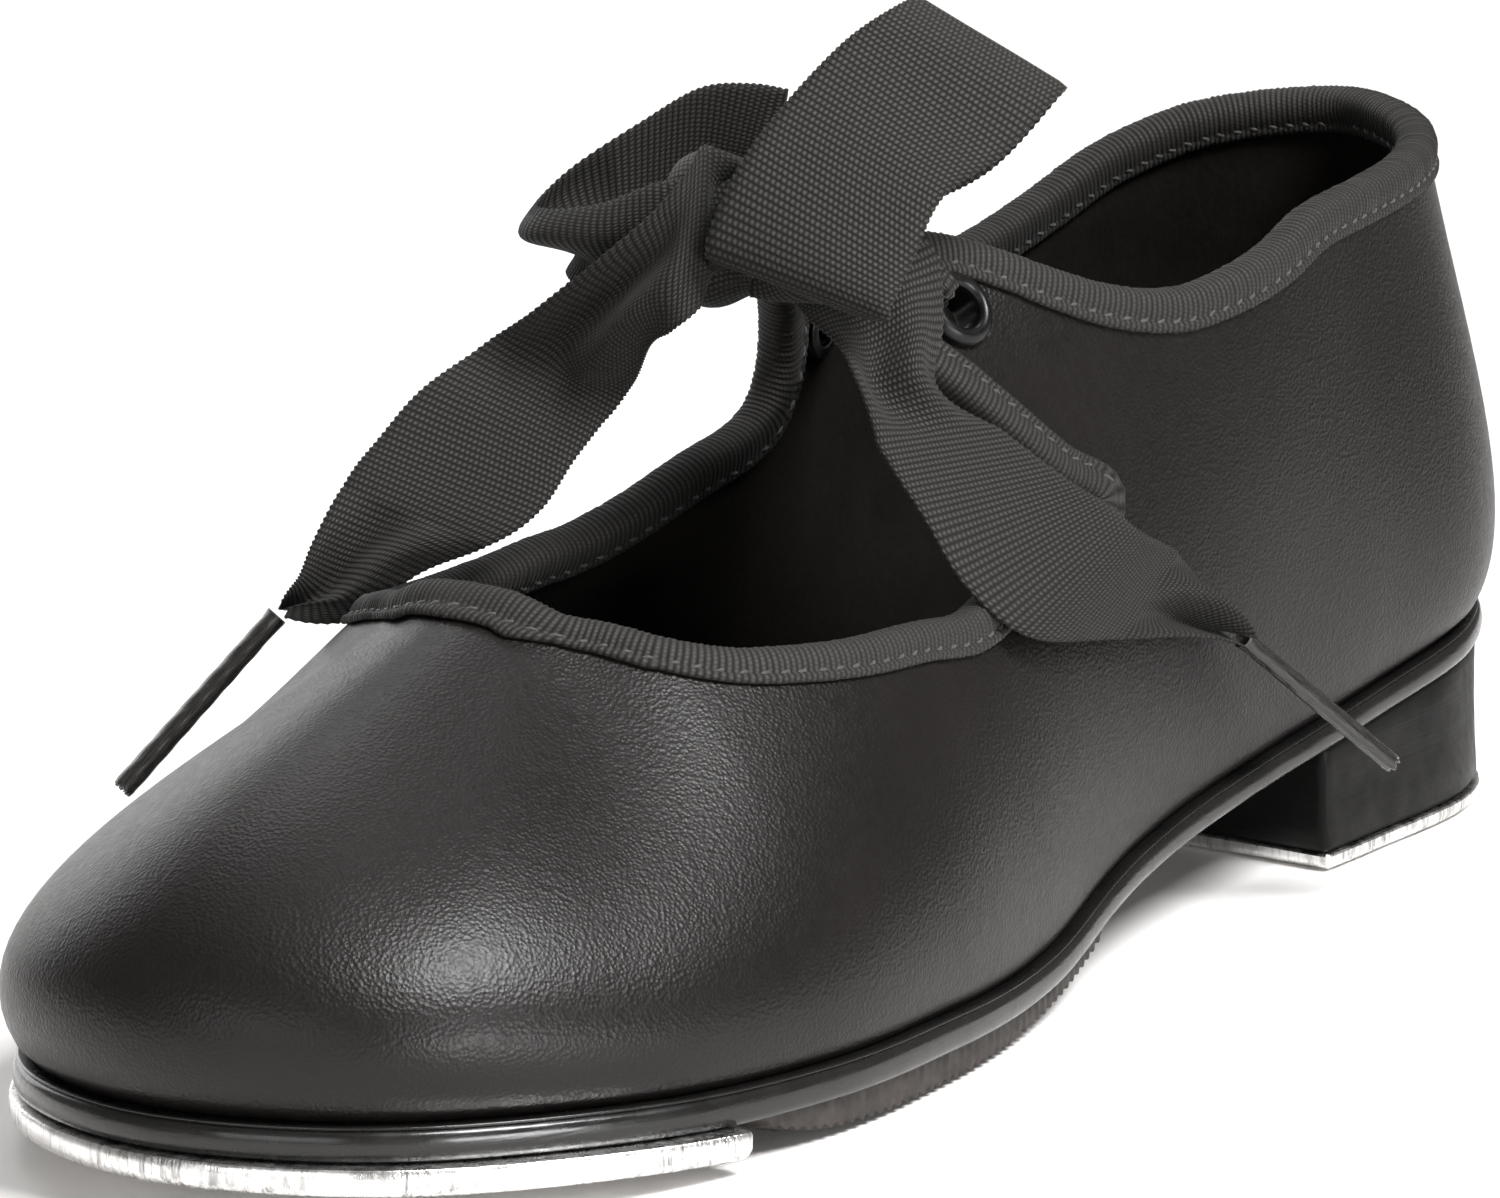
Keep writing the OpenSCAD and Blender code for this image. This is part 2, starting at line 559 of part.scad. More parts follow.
// The gathered ribbon through both eyelets, under the tabs, as a flat rod.
function eyelet_point(place, lift) =
    shell(place[0], place[1]) + lift * shell_normal(place[0], place[1]);
outer_tab_top = [5.8, .91];
inner_tab_top = [stations - 5.1, .93];
span_path = [knot_foot + [2, 0, 1], eyelet_point(outer_tab_top, 1.9),
    eyelet_point(outer_eyelet_at, 2.4), eyelet_point(outer_eyelet_at, 1.2),
    eyelet_point(outer_eyelet_at, -1.2), eyelet_point(outer_eyelet_at, -4.5), [0, -66, 59],
    eyelet_point(inner_eyelet_at, -4.5), eyelet_point(inner_eyelet_at, -1.2),
    eyelet_point(inner_eyelet_at, 1.6), eyelet_point(inner_eyelet_at, 3),
    eyelet_point([stations - 4.85, .83], 2.6), eyelet_point(inner_tab_top, 2.2), knot_foot + [-2, 1, 1]];
module ribbon_span() {
    path = open_curve(span_path, 4);
    n = len(path);
    sides = 8;
    points = [for (k = [0 : n - 1])
        let (along = unit(path[min(k + 1, n - 1)] - path[max(k - 1, 0)]),
            wide = unit(cross(along, [.35, -.5, .8])), thin = cross(wide, along))
        for (q = [0 : sides - 1]) path[k] + wide * span_half_w * cos(q * 360 / sides)
            + thin * span_half_t * sin(q * 360 / sides)];
    walls = [for (k = [0 : n - 2]) for (q = [0 : sides - 1]) each
        let (a = k * sides + q, b = k * sides + (q + 1) % sides)
        [[a, b, b + sides], [a, b + sides, a + sides]]];
    color("#242222") polyhedron(points, concat(walls,
        [[for (q = [sides - 1 : -1 : 0]) q]],
        [[for (q = [0 : sides - 1]) (n - 1) * sides + q]]), convexity = 6);
}
module ribbon_knot() {
    color("#242222") hull() {
        translate(knot_top) sphere(r = knot_r, $fn = 24);
        translate(knot_foot) sphere(r = knot_r, $fn = 24);
    }
}
module ribbon_loop_outer() color("#262424") band(loop_outer, ribbon_t);
module ribbon_loop_inner() color("#262424") band(loop_inner, ribbon_t);
module ribbon_lead_outer() color("#262424") band(lead_outer, ribbon_t);
module ribbon_lead_inner() color("#262424") band(lead_inner, ribbon_t);
module ribbon_tail_outer() color("#262424") band(tail_outer, ribbon_t);
module ribbon_tail_inner() color("#262424") band(tail_inner, ribbon_t);

// Wound plastic tip along a direction, starting just past the last ribbon section.
module aglet(sections, dir) {
    last = sections[len(sections) - 1];
    from = (last[0] + last[1]) / 2;
    d = unit(dir);
    color("#3b3836") translate(from + d * aglet_start) rotate([0, acos(d[2]), atan2(d[1], d[0])])
        union() {
            cylinder(h = aglet_l - .6, d = aglet_d);
            translate([0, 0, aglet_l - .61]) cylinder(h = .6, d1 = aglet_d, d2 = aglet_d - .8);
        }
}

outsole();
grip_pad();
toe_tap();
toe_tap_screws();
heel_block();
heel_tap();
heel_tap_screws();
heel_nails();
shank();
bottom_filler();
insole_board();
sock_liner();
heel_counter();
toe_puff();
upper();
lining();
topline_binding();
eyelet(outer_eyelet_at);  // outer_eyelet
washer(outer_eyelet_at);  // outer_eyelet_washer
eyelet(inner_eyelet_at);  // inner_eyelet
washer(inner_eyelet_at);  // inner_eyelet_washer
ribbon_span();
ribbon_knot();
ribbon_loop_outer();
ribbon_loop_inner();
ribbon_lead_outer();
ribbon_lead_inner();
ribbon_tail_outer();
ribbon_tail_inner();
aglet(tail_outer, aglet_outer_dir);  // aglet_outer
aglet(tail_inner, aglet_inner_dir);  // aglet_inner
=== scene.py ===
"""Looks of a child's ribbon-tie tap shoe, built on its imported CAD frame.

Shapes are worked out in millimetres in the row frame: toe towards -Y, outer side of the foot
+X, ground at z = 0. A place on the upper is (u, v): u counts 24 stations round the sole edge
from the back of the heel, v runs from the sole to the crown of the closed last.
"""

import math

import bmesh
import bpy
import numpy as np
from mathutils import Matrix, Vector


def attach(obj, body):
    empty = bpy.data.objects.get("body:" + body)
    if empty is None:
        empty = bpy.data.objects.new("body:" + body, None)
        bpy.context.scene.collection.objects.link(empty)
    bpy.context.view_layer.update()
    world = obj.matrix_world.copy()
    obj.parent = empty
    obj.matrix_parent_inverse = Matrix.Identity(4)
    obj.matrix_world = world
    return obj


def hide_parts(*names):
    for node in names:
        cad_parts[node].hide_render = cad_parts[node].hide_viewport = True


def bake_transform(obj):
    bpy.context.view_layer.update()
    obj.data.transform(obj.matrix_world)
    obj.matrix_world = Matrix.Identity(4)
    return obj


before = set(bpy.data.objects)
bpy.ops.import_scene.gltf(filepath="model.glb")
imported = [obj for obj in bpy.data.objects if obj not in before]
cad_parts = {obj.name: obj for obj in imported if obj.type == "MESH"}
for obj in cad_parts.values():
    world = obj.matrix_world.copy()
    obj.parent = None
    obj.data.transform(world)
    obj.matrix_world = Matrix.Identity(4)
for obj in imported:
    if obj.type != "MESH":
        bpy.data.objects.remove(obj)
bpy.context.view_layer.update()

MM = 0.001
dice = np.random.default_rng(7)

# ---- sizes, millimetres ----

STATIONS = 24
SOLE_LIP = 1.2  # the upper stands in from the sole edge
UPPER_T = .9
TUCK, TUCK_H = .5, 1.3  # the upper turns in where it meets the sole
LINING_NEAR, LINING_T = 1.5, .7
RIBBON_W, RIBBON_T = 18.5, .6
RIB = .64  # pitch of the ribbon's ribs
TAPE_RIB = .62  # pitch of the binding's ribs
STITCH_PITCH, STITCH_L, STITCH_R = 2.0, 1.25, .2
STITCH_AT = 2.45  # below the topline
STITCH_ROWS = ((.5, 1), (-2.92, -1))  # height over the leather and side, outside and inside
EYELET_HOLE_R = 2.7
ROUNDING = 4.5  # how far the binding's path is smoothed at the slits
RIB_H = .05  # how far a rib stands out
SCALLOP_OUT, SCALLOP_IN = .1, -.06  # the ribbon's edge at its ribs and between them
FOLD_GAIN, FOLD_POWER, FOLD_MAX = 1.25, .75, 2.2  # depth of a pleat where the ribbon narrows
KNOT_W = 10.5  # the ribbon drawn narrow round the bow
STRAND_R = 1.15  # the ribbon gathered to pass through the eyelets

# ---- the last, as in the CAD ----

OUTER_EDGE = [(0, 23), (14, 18.5), (21.8, 6.5), (23.3, -12.5), (23.8, -31.5), (25, -48),
    (28, -64), (33, -82), (37, -102), (38.3, -124), (33.5, -147), (20.5, -167.5), (0, -175.8)]
INNER_EDGE = [(14, 18.5), (21, 6.5), (21.6, -12.5), (21, -31.5), (21.5, -48), (24, -64),
    (29.5, -82), (35, -102), (37.5, -124), (33.5, -149), (20.5, -168.5)]
CROWN = [(0, 19, 74.5, 6.5, 12, 2, -19.5), (11, 13.5, 74, 7, 10, 2, -19.5),
    (18, 2, 72, 7.5, 8.5, 2, -18), (20.5, -16, 69.5, 6, 13, 2, -16),
    (20, -36, 68, 4, 18, 4, -14), (11, -60, 70.5, 3.5, 20, 8, -8),
    (2, -77, 71, 3.5, 20, 15, -2), (1, -95.5, 62, 3.5, 19.5, 20, -2.5),
    (4, -110.5, 54, 5, 16, 18.5, -4.5), (7.5, -119.5, 49, 6, 13, 14.5, -8),
    (8.5, -124, 46.5, 8, 13.5, 9.5, -11), (4.5, -126, 47.5, 13, 18, 7, -9.5),
    (0, -126.5, 47.5, 14.5, 22.5, 6.5, -5.5)]
SOLE_UNDER = [(-176, 6.3), (-156, 5.15), (-135, 4), (-108, 3.35), (-83, 3.5), (-58, 7.7),
    (-23, 12.2), (24.5, 18.3)]
SOLE_THICK = [(-176, 3.4), (-110, 3.4), (-60, 2.8), (-20, 2.8), (24, 3.2)]

COLLAR_OUTER = [(0, .915), (1.1, .91), (2.1, .92), (3.1, .93), (3.55, .9), (3.95, .87),
    (4.3, .835), (4.6, .835), (4.85, .865), (5.05, .905), (5.25, .94), (5.5, .955),
    (5.8, .945), (6.02, .9)]
COLLAR_INNER = [(0, .915), (1, .91), (1.5, .905), (2.1, .88), (2.55, .84), (3.1, .8),
    (3.6, .785), (4, .8), (4.3, .85), (4.55, .905), (4.8, .94), (5.05, .955), (5.3, .93),
    (5.4, .88)]
FRONT_OUTER = [(5.27, .475), (5.4, .488), (5.58, .507), (5.8, .56), (6, .63), (6.15, .7),
    (6.22, .77), (6.17, .84), (6.02, .9)]
FRONT_INNER = [(5.35, .53), (5.2, .56), (5.1, .61), (5.07, .67), (5.12, .74), (5.25, .81),
    (5.4, .88)]
LIP_TOE = [(8.55, .7), (8.95, .79), (9.3, .87), (9.7, .93), (10.3, .965), (11.1, .98), (12, .99)]
LIP_OUTER = [(5.27, .475), (5.38, .458), (5.6, .445), (5.9, .44), (6.3, .445), (6.7, .457),
    (7, .475), (7.35, .52), (7.75, .57), (8.15, .63)] + LIP_TOE
LIP_INNER = [(5.35, .53), (5.64, .503), (6.05, .49), (6.5, .488), (6.85, .5), (7.1, .52),
    (7.55, .555), (8.1, .62)] + LIP_TOE
OUTER_EYELET, INNER_EYELET = (5.66, .76), (STATIONS - 4.66, .71)

# Ribbon sections, the two edges of the ribbon, from the knot outwards
KNOT_TOP, KNOT_FOOT = (-4.5, -79, 75), (-3.5, -81, 69.5)
LEAD_OUTER = [((-3, -75.5, 76.5), (-3, -78, 67)), ((3, -75, 77), (0, -79, 66)),
    ((9.5, -74.5, 76), (3.5, -81, 66)), ((13.5, -72, 70.5), (6.5, -83, 65))]
TAIL_OUTER = [((15.4, -73, 64.4), (10.4, -84, 62.7)), ((17.1, -76, 58.9), (13, -85.3, 59.7)),
    ((20, -71, 53.6), (16.8, -86, 54.4)), ((23.2, -65, 48), (20.8, -85, 48)),
    ((24.6, -60.5, 44.8), (24.8, -83.8, 41.5)), ((25.2, -56.4, 41.6), (29, -79.5, 36.4)),
    ((25.5, -50.6, 38.6), (28, -64.7, 33)), ((26.2, -45.6, 35), (27.4, -52.8, 30.6)),
    ((27.2, -42.3, 29.8), (26.8, -43.2, 28.1))]
LEAD_INNER = [((-3.1, -81.5, 78.5), (-2.5, -83.6, 68.4)), ((-3.2, -85.4, 81.1), (-1.7, -89, 66.2)),
    ((-3.6, -87.8, 78.6), (-3.2, -91.1, 64.5)), ((-5.3, -89.1, 75.7), (-5.8, -91, 63.4)),
    ((-10, -90.5, 71.4), (-7.7, -90.8, 61.6)), ((-17, -91.2, 66.3), (-9.3, -90.3, 58.8))]
TAIL_INNER = [((-24.2, -91.6, 61.6), (-11.3, -90, 56)),
    ((-27.8, -98, 57.7), (-13.2, -93.8, 51.5)), ((-29.5, -103, 53.4), (-14, -98, 47.5)),
    ((-30.4, -106.6, 50.2), (-16.5, -102, 44.8)), ((-31.2, -110.6, 44.8), (-22.3, -106.3, 42.4)),
    ((-31.6, -113, 41.4), (-26.5, -110.5, 38.5)), ((-32.2, -115.3, 39.8), (-31.4, -115, 38.6))]
LOOP_OUTER = [((-3, -74, 79), (-1, -75, 70.5)), ((1, -73, 81), (8, -72, 73)),
    ((5, -68.5, 88.5), (14, -64, 76.5)), ((8.5, -67, 93), (20, -60, 84)),
    ((9, -71.5, 93), (21, -63.5, 83.5)), ((7, -76.5, 90.5), (19.5, -69, 79.5)),
    ((4.5, -82.5, 85.5), (17.5, -76, 76.5)), ((2.5, -87, 80.5), (17, -80.5, 71)),
    ((.5, -89.5, 74.5), (17, -84, 67.5)), ((-.5, -89, 71.5), (15.5, -83.5, 66)),
    ((-2, -84.5, 71), (4, -83, 67.5))]
LOOP_INNER = [((-4, -71, 84), (-6, -75.4, 73)), ((-8, -71.5, 84.3), (-9, -75.5, 71.5)),
    ((-13, -73, 83.7), (-12.7, -75.7, 69.5)), ((-17.8, -76.2, 80.5), (-16.6, -78.6, 67)),
    ((-22.3, -80.7, 76.7), (-18.9, -82, 67)), ((-22.8, -85.6, 74.2), (-19.8, -85.6, 67.8)),
    ((-19.3, -89.4, 74.2), (-16.7, -88.4, 67)), ((-12.7, -89.3, 75.3), (-11.9, -89.4, 65.5)),
    ((-7.3, -87, 77.5), (-6.5, -87.5, 66)), ((-3.5, -83, 77), (-3.5, -84.5, 68))]
TIP_OUTER_DIR, TIP_INNER_DIR = (7.5, 15, -15), (-9.5, -12.5, -15.5)
TIP_L, TIP_START = 22, .8
TIP_WALL = 8  # how many rings the tip's wall goes back inside its end

# ---- curves and surfaces ----


def unit(a):
    return a / np.linalg.norm(a, axis=-1, keepdims=True)


def spline(points, t, closed=False):
    """Smooth curve through the points, at places t counted in points."""
    p, t = np.asarray(points, float), np.asarray(t, float)
    n = len(p)
    i = np.floor(t).astype(int)
    if not closed:
        i = np.clip(i, 0, n - 2)
    f = (t - i)[..., None]
    a, b, c, d = (p[k % n if closed else np.clip(k, 0, n - 1)] for k in (i - 1, i, i + 1, i + 2))
    return .5 * (2 * b + (c - a) * f + (2 * a - 5 * b + 4 * c - d) * f**2
        + (3 * b - a - 3 * c + d) * f**3)


def table(rows, x):
    """Smooth value from rows of (x, value)."""
    t = np.asarray(rows, float)
    x = np.clip(np.asarray(x, float), t[0, 0], t[-1, 0])
    i = np.clip(np.searchsorted(t[:, 0], x, side="right") - 1, 0, len(t) - 2)
    below, above = np.r_[0, np.arange(len(t) - 1)], np.r_[np.arange(1, len(t)), len(t) - 1]
    slope = (t[above, 1] - t[below, 1]) / (t[above, 0] - t[below, 0])
    w = t[i + 1, 0] - t[i, 0]
    f = (x - t[i, 0]) / w
    g = 1 - f
    return (t[i, 1] * g * g * (1 + 2 * f) + t[i + 1, 1] * f * f * (3 - 2 * f)
        + w * f * g * (g * slope[i] - f * slope[i + 1]))


def smooth_step(x):
    x = np.clip(x, 0, 1)
    return x * x * (3 - 2 * x)


def angles(sides):
    return np.linspace(0, 2 * math.pi, sides, endpoint=False)


def arc_lengths(path):
    return np.r_[0, np.cumsum(np.linalg.norm(np.diff(path, axis=0), axis=1))]


def under_z(y):
    return table(SOLE_UNDER, y)


def seat_z(y):
    return under_z(y) + table(SOLE_THICK, y)


RIBS = np.array([
    tuple(OUTER_EDGE[k]) + CROWN[k] if k <= 12 else
    (-INNER_EDGE[STATIONS - k - 1][0], INNER_EDGE[STATIONS - k - 1][1],
        -CROWN[STATIONS - k][0]) + CROWN[STATIONS - k][1:]
    for k in range(STATIONS)], float)


def outward(u):
    t = spline(RIBS, u + .02, True) - spline(RIBS, u - .02, True)
    return unit(np.stack([-t[..., 1], t[..., 0]], -1))


def sole_outline(inset, start=0, steps=40):
    """Plan outline round the sole, at an inset from its edge."""
    u = np.linspace(start, start + STATIONS, STATIONS * steps, endpoint=False)
    return spline(RIBS, u, True)[:, :2] - outward(u) * inset


def shell(u, v):
    """Point of the upper's outer face."""
    r, n = spline(RIBS, u, True), outward(u)
    out = np.concatenate([n, np.zeros_like(n[..., :1])], -1)
    up = np.array([0, 0, 1.0])
    foot = r[..., :2] - n * SOLE_LIP
    p0 = np.concatenate([foot, seat_z(foot[..., 1])[..., None]], -1)
    p1 = p0 + out * r[..., 5:6] + up * r[..., 6:7]
    p3 = r[..., 2:5]
    p2 = p3 + out * r[..., 7:8] + up * r[..., 8:9]
    v = np.asarray(v, float)[..., None]
    g = 1 - v
    return p0 * g**3 + p1 * 3 * v * g**2 + p2 * 3 * v**2 * g + p3 * v**3


def shell_normal(u, v):
    e, w = .02, np.clip(v, .01, .985)
    rise, run = shell(u, w + e / 2) - shell(u, w - e / 2), shell(u + e, w) - shell(u - e, w)
    return unit(np.cross(rise, run))


def inside(u, v, depth):
    """Point at a depth under the outer face. The lowest rows stay level and turn in."""
    p, n = shell(u, v), shell_normal(u, v)
    flat = unit(n * (1, 1, 0))
    f = np.clip(v / .06, 0, 1)[..., None]
    height = p[..., 2] - seat_z(p[..., 1])
    turn = TUCK * (1 - smooth_step(height / TUCK_H))
    return p - (depth + turn)[..., None] * unit(flat + (n - flat) * f)


# ---- mesh helpers ----


def make(name, points, faces, material, loops_uv=None):
    """A smooth object from points in millimetres; loops_uv has a row per face corner."""
    mesh = bpy.data.meshes.new(name)
    mesh.from_pydata((np.asarray(points, float) * MM).tolist(), [],
        [list(map(int, f)) for f in faces])
    if loops_uv is not None:
        mesh.uv_layers.new(name="cloth").data.foreach_set("uv", np.ravel(loops_uv))
    mesh.polygons.foreach_set("use_smooth", [True] * len(mesh.polygons))
    mesh.materials.append(material)
    obj = bpy.data.objects.new(name, mesh)
    bpy.context.collection.objects.link(obj)
    return obj


def lattice(n, m, wrap_i=False, wrap_j=False, keep=None):
    """Quads over an n by m grid of points, and the unwrapped (i, j) of each corner."""
    i, j = np.meshgrid(np.arange(n if wrap_i else n - 1), np.arange(m if wrap_j else m - 1),
        indexing="ij")
    i, j = i.ravel(), j.ravel()
    if keep is not None:
        ok = keep(i, j)
        i, j = i[ok], j[ok]
    ci = np.stack([i, i + 1, i + 1, i], 1)
    cj = np.stack([j, j, j + 1, j + 1], 1)
    return (ci % n) * m + cj % m, ci, cj


def tidy(points, faces):
    """Drops points that no face uses."""
    used, back = np.unique(faces, return_inverse=True)
    return np.asarray(points)[used], back.reshape(np.shape(faces))


def weld(obj, distance=None):
    """Turns the faces outwards, and joins points within a distance in metres where one is given."""
    mesh = bmesh.new()
    mesh.from_mesh(obj.data)
    if distance:
        bmesh.ops.remove_doubles(mesh, verts=mesh.verts, dist=distance)
    bmesh.ops.recalc_face_normals(mesh, faces=mesh.faces)
    mesh.to_mesh(obj.data)
    mesh.free()


def loft(name, rings, material, bottom, top):
    """Closed solid through rings of equal length; bottom and top are the caps' ladders."""
    rings = np.asarray(rings)
    count, n = rings.shape[:2]
    faces, _, _ = lattice(count, n, wrap_j=True)
    points, faces = [rings.reshape(-1, 3)], [faces]
    for ring, fill in ((rings[0], bottom), (rings[-1], top)):
        p, f = fill(ring)
        faces.append(f + sum(len(q) for q in points))
        points.append(p)
    obj = make(name, np.concatenate(points), np.concatenate(faces), material)
    weld(obj, 1e-5)
    return obj


def ladder(height, rungs=10):
    """Fills a ring with rungs between its point k and its point n - k. height(y) gives z."""
    def fill(ring):
        n = len(ring)
        half = n // 2
        left, right = ring[:half + 1], ring[(n - np.arange(half + 1)) % n]
        s = np.linspace(0, 1, rungs + 1)[None, :, None]
        grid = left[:, None] * (1 - s) + right[:, None] * s
        z = height(grid[..., 1])
        z[:, 0], z[:, -1] = left[:, 2], right[:, 2]
        grid[..., 2] = z
        faces, _, _ = lattice(half + 1, rungs + 1)
        return grid.reshape(-1, 3), faces
    return fill


def strip_caps(n, m):
    """Quads that close both ends of a flat tube of n rings of m points."""
    return np.array([[k * m + j, k * m + j + 1, k * m + m - 2 - j, k * m + m - 1 - j][::turn]
        for k, turn in ((0, 1), (n - 1, -1)) for j in range(m // 2 - 1)])


def closed_tube(name, grid, along, around, ends, material):
    """Tube over rings of points, capped from two end points. The texture runs by along, a
    place for each ring, and by around, the width of one side."""
    n, sides = grid.shape[:2]
    faces, ci, cj = lattice(n, sides, wrap_j=True)
    k, last = np.arange(sides), (n - 1) * sides
    caps = [[(x + 1) % sides, x, n * sides] for x in k] + [
        [last + x, last + (x + 1) % sides, n * sides + 1] for x in k]
    sides_uv = np.stack([along[ci], cj * around], -1).reshape(-1, 2)
    loops_uv = np.concatenate([sides_uv, np.zeros((len(caps) * 3, 2))])
    points = np.concatenate([grid.reshape(-1, 3), ends])
    return make(name, points, faces.tolist() + caps, material, loops_uv)


def revolve(profile, sides):
    """Points and faces of a closed profile of (radius, z) turned about Z."""
    a = angles(sides)
    p = np.asarray(profile, float)
    points = np.stack([p[None, :, 0] * np.cos(a)[:, None], p[None, :, 0] * np.sin(a)[:, None],
        np.broadcast_to(p[None, :, 1], (sides, len(p)))], -1)
    faces, _, _ = lattice(sides, len(p), True, True)
    return points.reshape(-1, 3), faces


def cut(obj, points, faces):
    """Takes a closed solid out of obj."""
    tool = make("cutter", points, faces, obj.data.materials[0])
    weld(tool, 1e-7)
    b = obj.modifiers.new("cut", "BOOLEAN")
    b.object, b.operation, b.solver = tool, "DIFFERENCE", "EXACT"
    bpy.context.view_layer.update()
    result = obj.evaluated_get(bpy.context.evaluated_depsgraph_get())
    shape = bpy.data.meshes.new_from_object(result)
    obj.modifiers.clear()
    obj.data = shape
    bpy.data.objects.remove(tool)


# ---- materials ----


class Paint:
    """A Principled material and a few node shortcuts."""

    def __init__(self, name, roughness, **sockets):
        self.m = bpy.data.materials.new(name)
        self.m.use_nodes = True
        self.nodes, self.links = self.m.node_tree.nodes, self.m.node_tree.links
        self.shader = self.nodes["Principled BSDF"]
        self.shader.inputs["Roughness"].default_value = roughness
        for k, v in sockets.items():
            self.shader.inputs[k.replace("_", " ")].default_value = v
        self.place = self.nodes.new("ShaderNodeTexCoord").outputs["Object"]

    def node(self, kind, inputs=(), **settings):
        n = self.nodes.new("ShaderNode" + kind)
        for k, v in settings.items():
            setattr(n, k, v)
        for k, v in dict(inputs).items():
            if isinstance(v, bpy.types.NodeSocket):
                self.links.new(v, n.inputs[k])
            else:
                n.inputs[k].default_value = v
        return n.outputs[0]

    def math(self, operation, a, b=.5, c=0):
        return self.node("Math", {0: a, 1: b, 2: c}, operation=operation)

    def scaled(self, vector, scale):
        return self.node("VectorMath", {0: vector, 1: scale}, operation="MULTIPLY")

    def noise(self, scale, detail, rough=.55, at=None):
        return self.node("TexNoise", {"Vector": at or self.place, "Scale": scale, "Detail": detail,
            "Roughness": rough})

    def cells(self, scale, smooth):
        inputs = {"Vector": self.place, "Scale": scale, "Smoothness": smooth}
        return self.node("TexVoronoi", inputs, feature="SMOOTH_F1")

    def ramp(self, value, *stops):
        n = self.nodes.new("ShaderNodeValToRGB")
        self.links.new(value, n.inputs[0])
        e = n.color_ramp.elements
        while len(e) < len(stops):
            e.new(.5)
        for i, (at, colour) in enumerate(stops):
            e[i].position, e[i].color = at, (*colour, 1)
        return n.outputs[0]

    def range(self, value, low, high, a=0, b=1):
        return self.node("MapRange", {0: value, 1: a, 2: b, 3: low, 4: high})

    def to(self, socket, value):
        self.links.new(value, self.shader.inputs[socket])

    def tint(self, value, *stops):
        self.to("Base Color", self.ramp(value, *stops))

    def rough(self, value, low, high, a=.3, b=.7):
        self.to("Roughness", self.range(value, low, high, a, b))

    def bump(self, *layers):
        """Layers of (height, millimetres), each on top of the last."""
        last = None
        for height, depth in layers:
            inputs = {"Height": height, "Distance": depth * MM, "Strength": 1.0}
            if last:
                inputs["Normal"] = last
            last = self.node("Bump", inputs)
        self.to("Normal", last)


def grey(v, warm=0):
    return (v * (1 + warm), v, v * (1 - warm))


def leather():
    p = Paint("pebbled_leather", .4, Specular_IOR_Level=.28)
    pebbles = p.cells(2600, .15)
    fine = p.noise(7000, 3)
    patches = p.noise(60, 3)
    p.tint(patches, (.3, (.005, .004, .0037)), (.7, (.0074, .0061, .0057)))
    p.rough(p.noise(900, 4), .33, .41)
    p.bump((p.math("MULTIPLY", pebbles, p.range(p.noise(500, 2), .6, 1.3)), .048), (fine, .012))
    return p.m


def felt(name, dark, light, warm, depth=.12):
    p = Paint(name, .92, Specular_IOR_Level=.1)
    nap = p.noise(1800, 6, .7)
    creases_and_crease_shade = p.noise(70, 4, .6)
    # colour: random tone from the nap, plus painted shade that darkens the crease hollows
    p.tint(p.math("MULTIPLY_ADD", nap, .5, p.math("MULTIPLY", creases_and_crease_shade, .5)),
        (.35, grey(dark, warm)), (.65, grey(light, warm)))
    p.bump((creases_and_crease_shade, depth * 5), (nap, depth))
    return p.m


def woven(name, dark, light, pitch, across, warm, depth=.11, broken=.75):
    """Ribbed tape: ribs across the strip, crossed by warp threads in brick order. Its colour
    follows the weave's height: painted shade in the grooves and painted highlights on the knuckle
    tops.
    """
    p = Paint(name, .72, Sheen_Weight=.05, Sheen_Roughness=.4, Specular_IOR_Level=.35)
    uv = p.node("UVMap", uv_map="cloth")
    split = p.nodes.new("ShaderNodeSeparateXYZ")
    p.links.new(uv, split.inputs[0])
    along, over = split.outputs[0], split.outputs[1]
    row = p.math("DIVIDE", along, pitch)
    rib = p.math("ABSOLUTE", p.math("SINE", p.math("MULTIPLY", row, math.pi)), 0)
    shift = p.math("MULTIPLY", p.math("MODULO", p.math("FLOOR", row), 2.0), .5)
    wobble = p.math("MULTIPLY", p.noise(900, 2), .35)
    warp = p.math("ADD", p.math("ADD", p.math("DIVIDE", over, across), shift), wobble)
    thread = p.math("ABSOLUTE", p.math("SINE", p.math("MULTIPLY", warp, math.pi)), 0)
    fuzz = p.noise(6000, 4, .7)
    knuckle = p.math("MULTIPLY", rib, p.math("MULTIPLY_ADD", thread, broken, 1 - broken))
    height = p.math("MULTIPLY_ADD", fuzz, .25, knuckle)
    middle = dark + (light - dark) * .3
    # painted shade in the grooves and a painted highlight on the knuckle tops, with a little random
    # fuzz
    p.tint(height, (.3, grey(dark, warm)), (.75, grey(middle, warm)), (1, grey(light, warm)))
    p.rough(knuckle, .9, .6, 0, 1)
    p.bump((height, depth))
    return p.m


def thread_paint():
    p = Paint("thread", .6, Sheen_Weight=.3)
    p.tint(p.noise(2500, 3), (.3, grey(.016, .05)), (.7, grey(.045, .05)))
    p.bump((p.noise(5000, 3), .03))
    return p.m


def polished_sole(name, colour, rough, coat, level):
    p = Paint(name, rough, Coat_Weight=coat, Coat_Roughness=.15, Specular_IOR_Level=level)
    long_ways = p.scaled(p.place, (1, .08, 6))
    p.tint(p.noise(110, 4), (.3, grey(colour, .04)), (.75, grey(colour * 1.9, .06)))
    p.rough(p.noise(260, 5, .65), rough, rough + .22, .35, .75)
    p.bump((p.noise(350, 3, at=long_ways), .05), (p.noise(2600, 3), .008))
    return p.m


def rubber():
    p = Paint("ribbed_rubber", .62)
    p.tint(p.noise(420, 5), (.35, (.014, .011, .0095)), (.7, (.034, .026, .022)))
    p.rough(p.noise(900, 4), .5, .8)
    p.bump((p.noise(2200, 5, .7), .05))
    return p.m


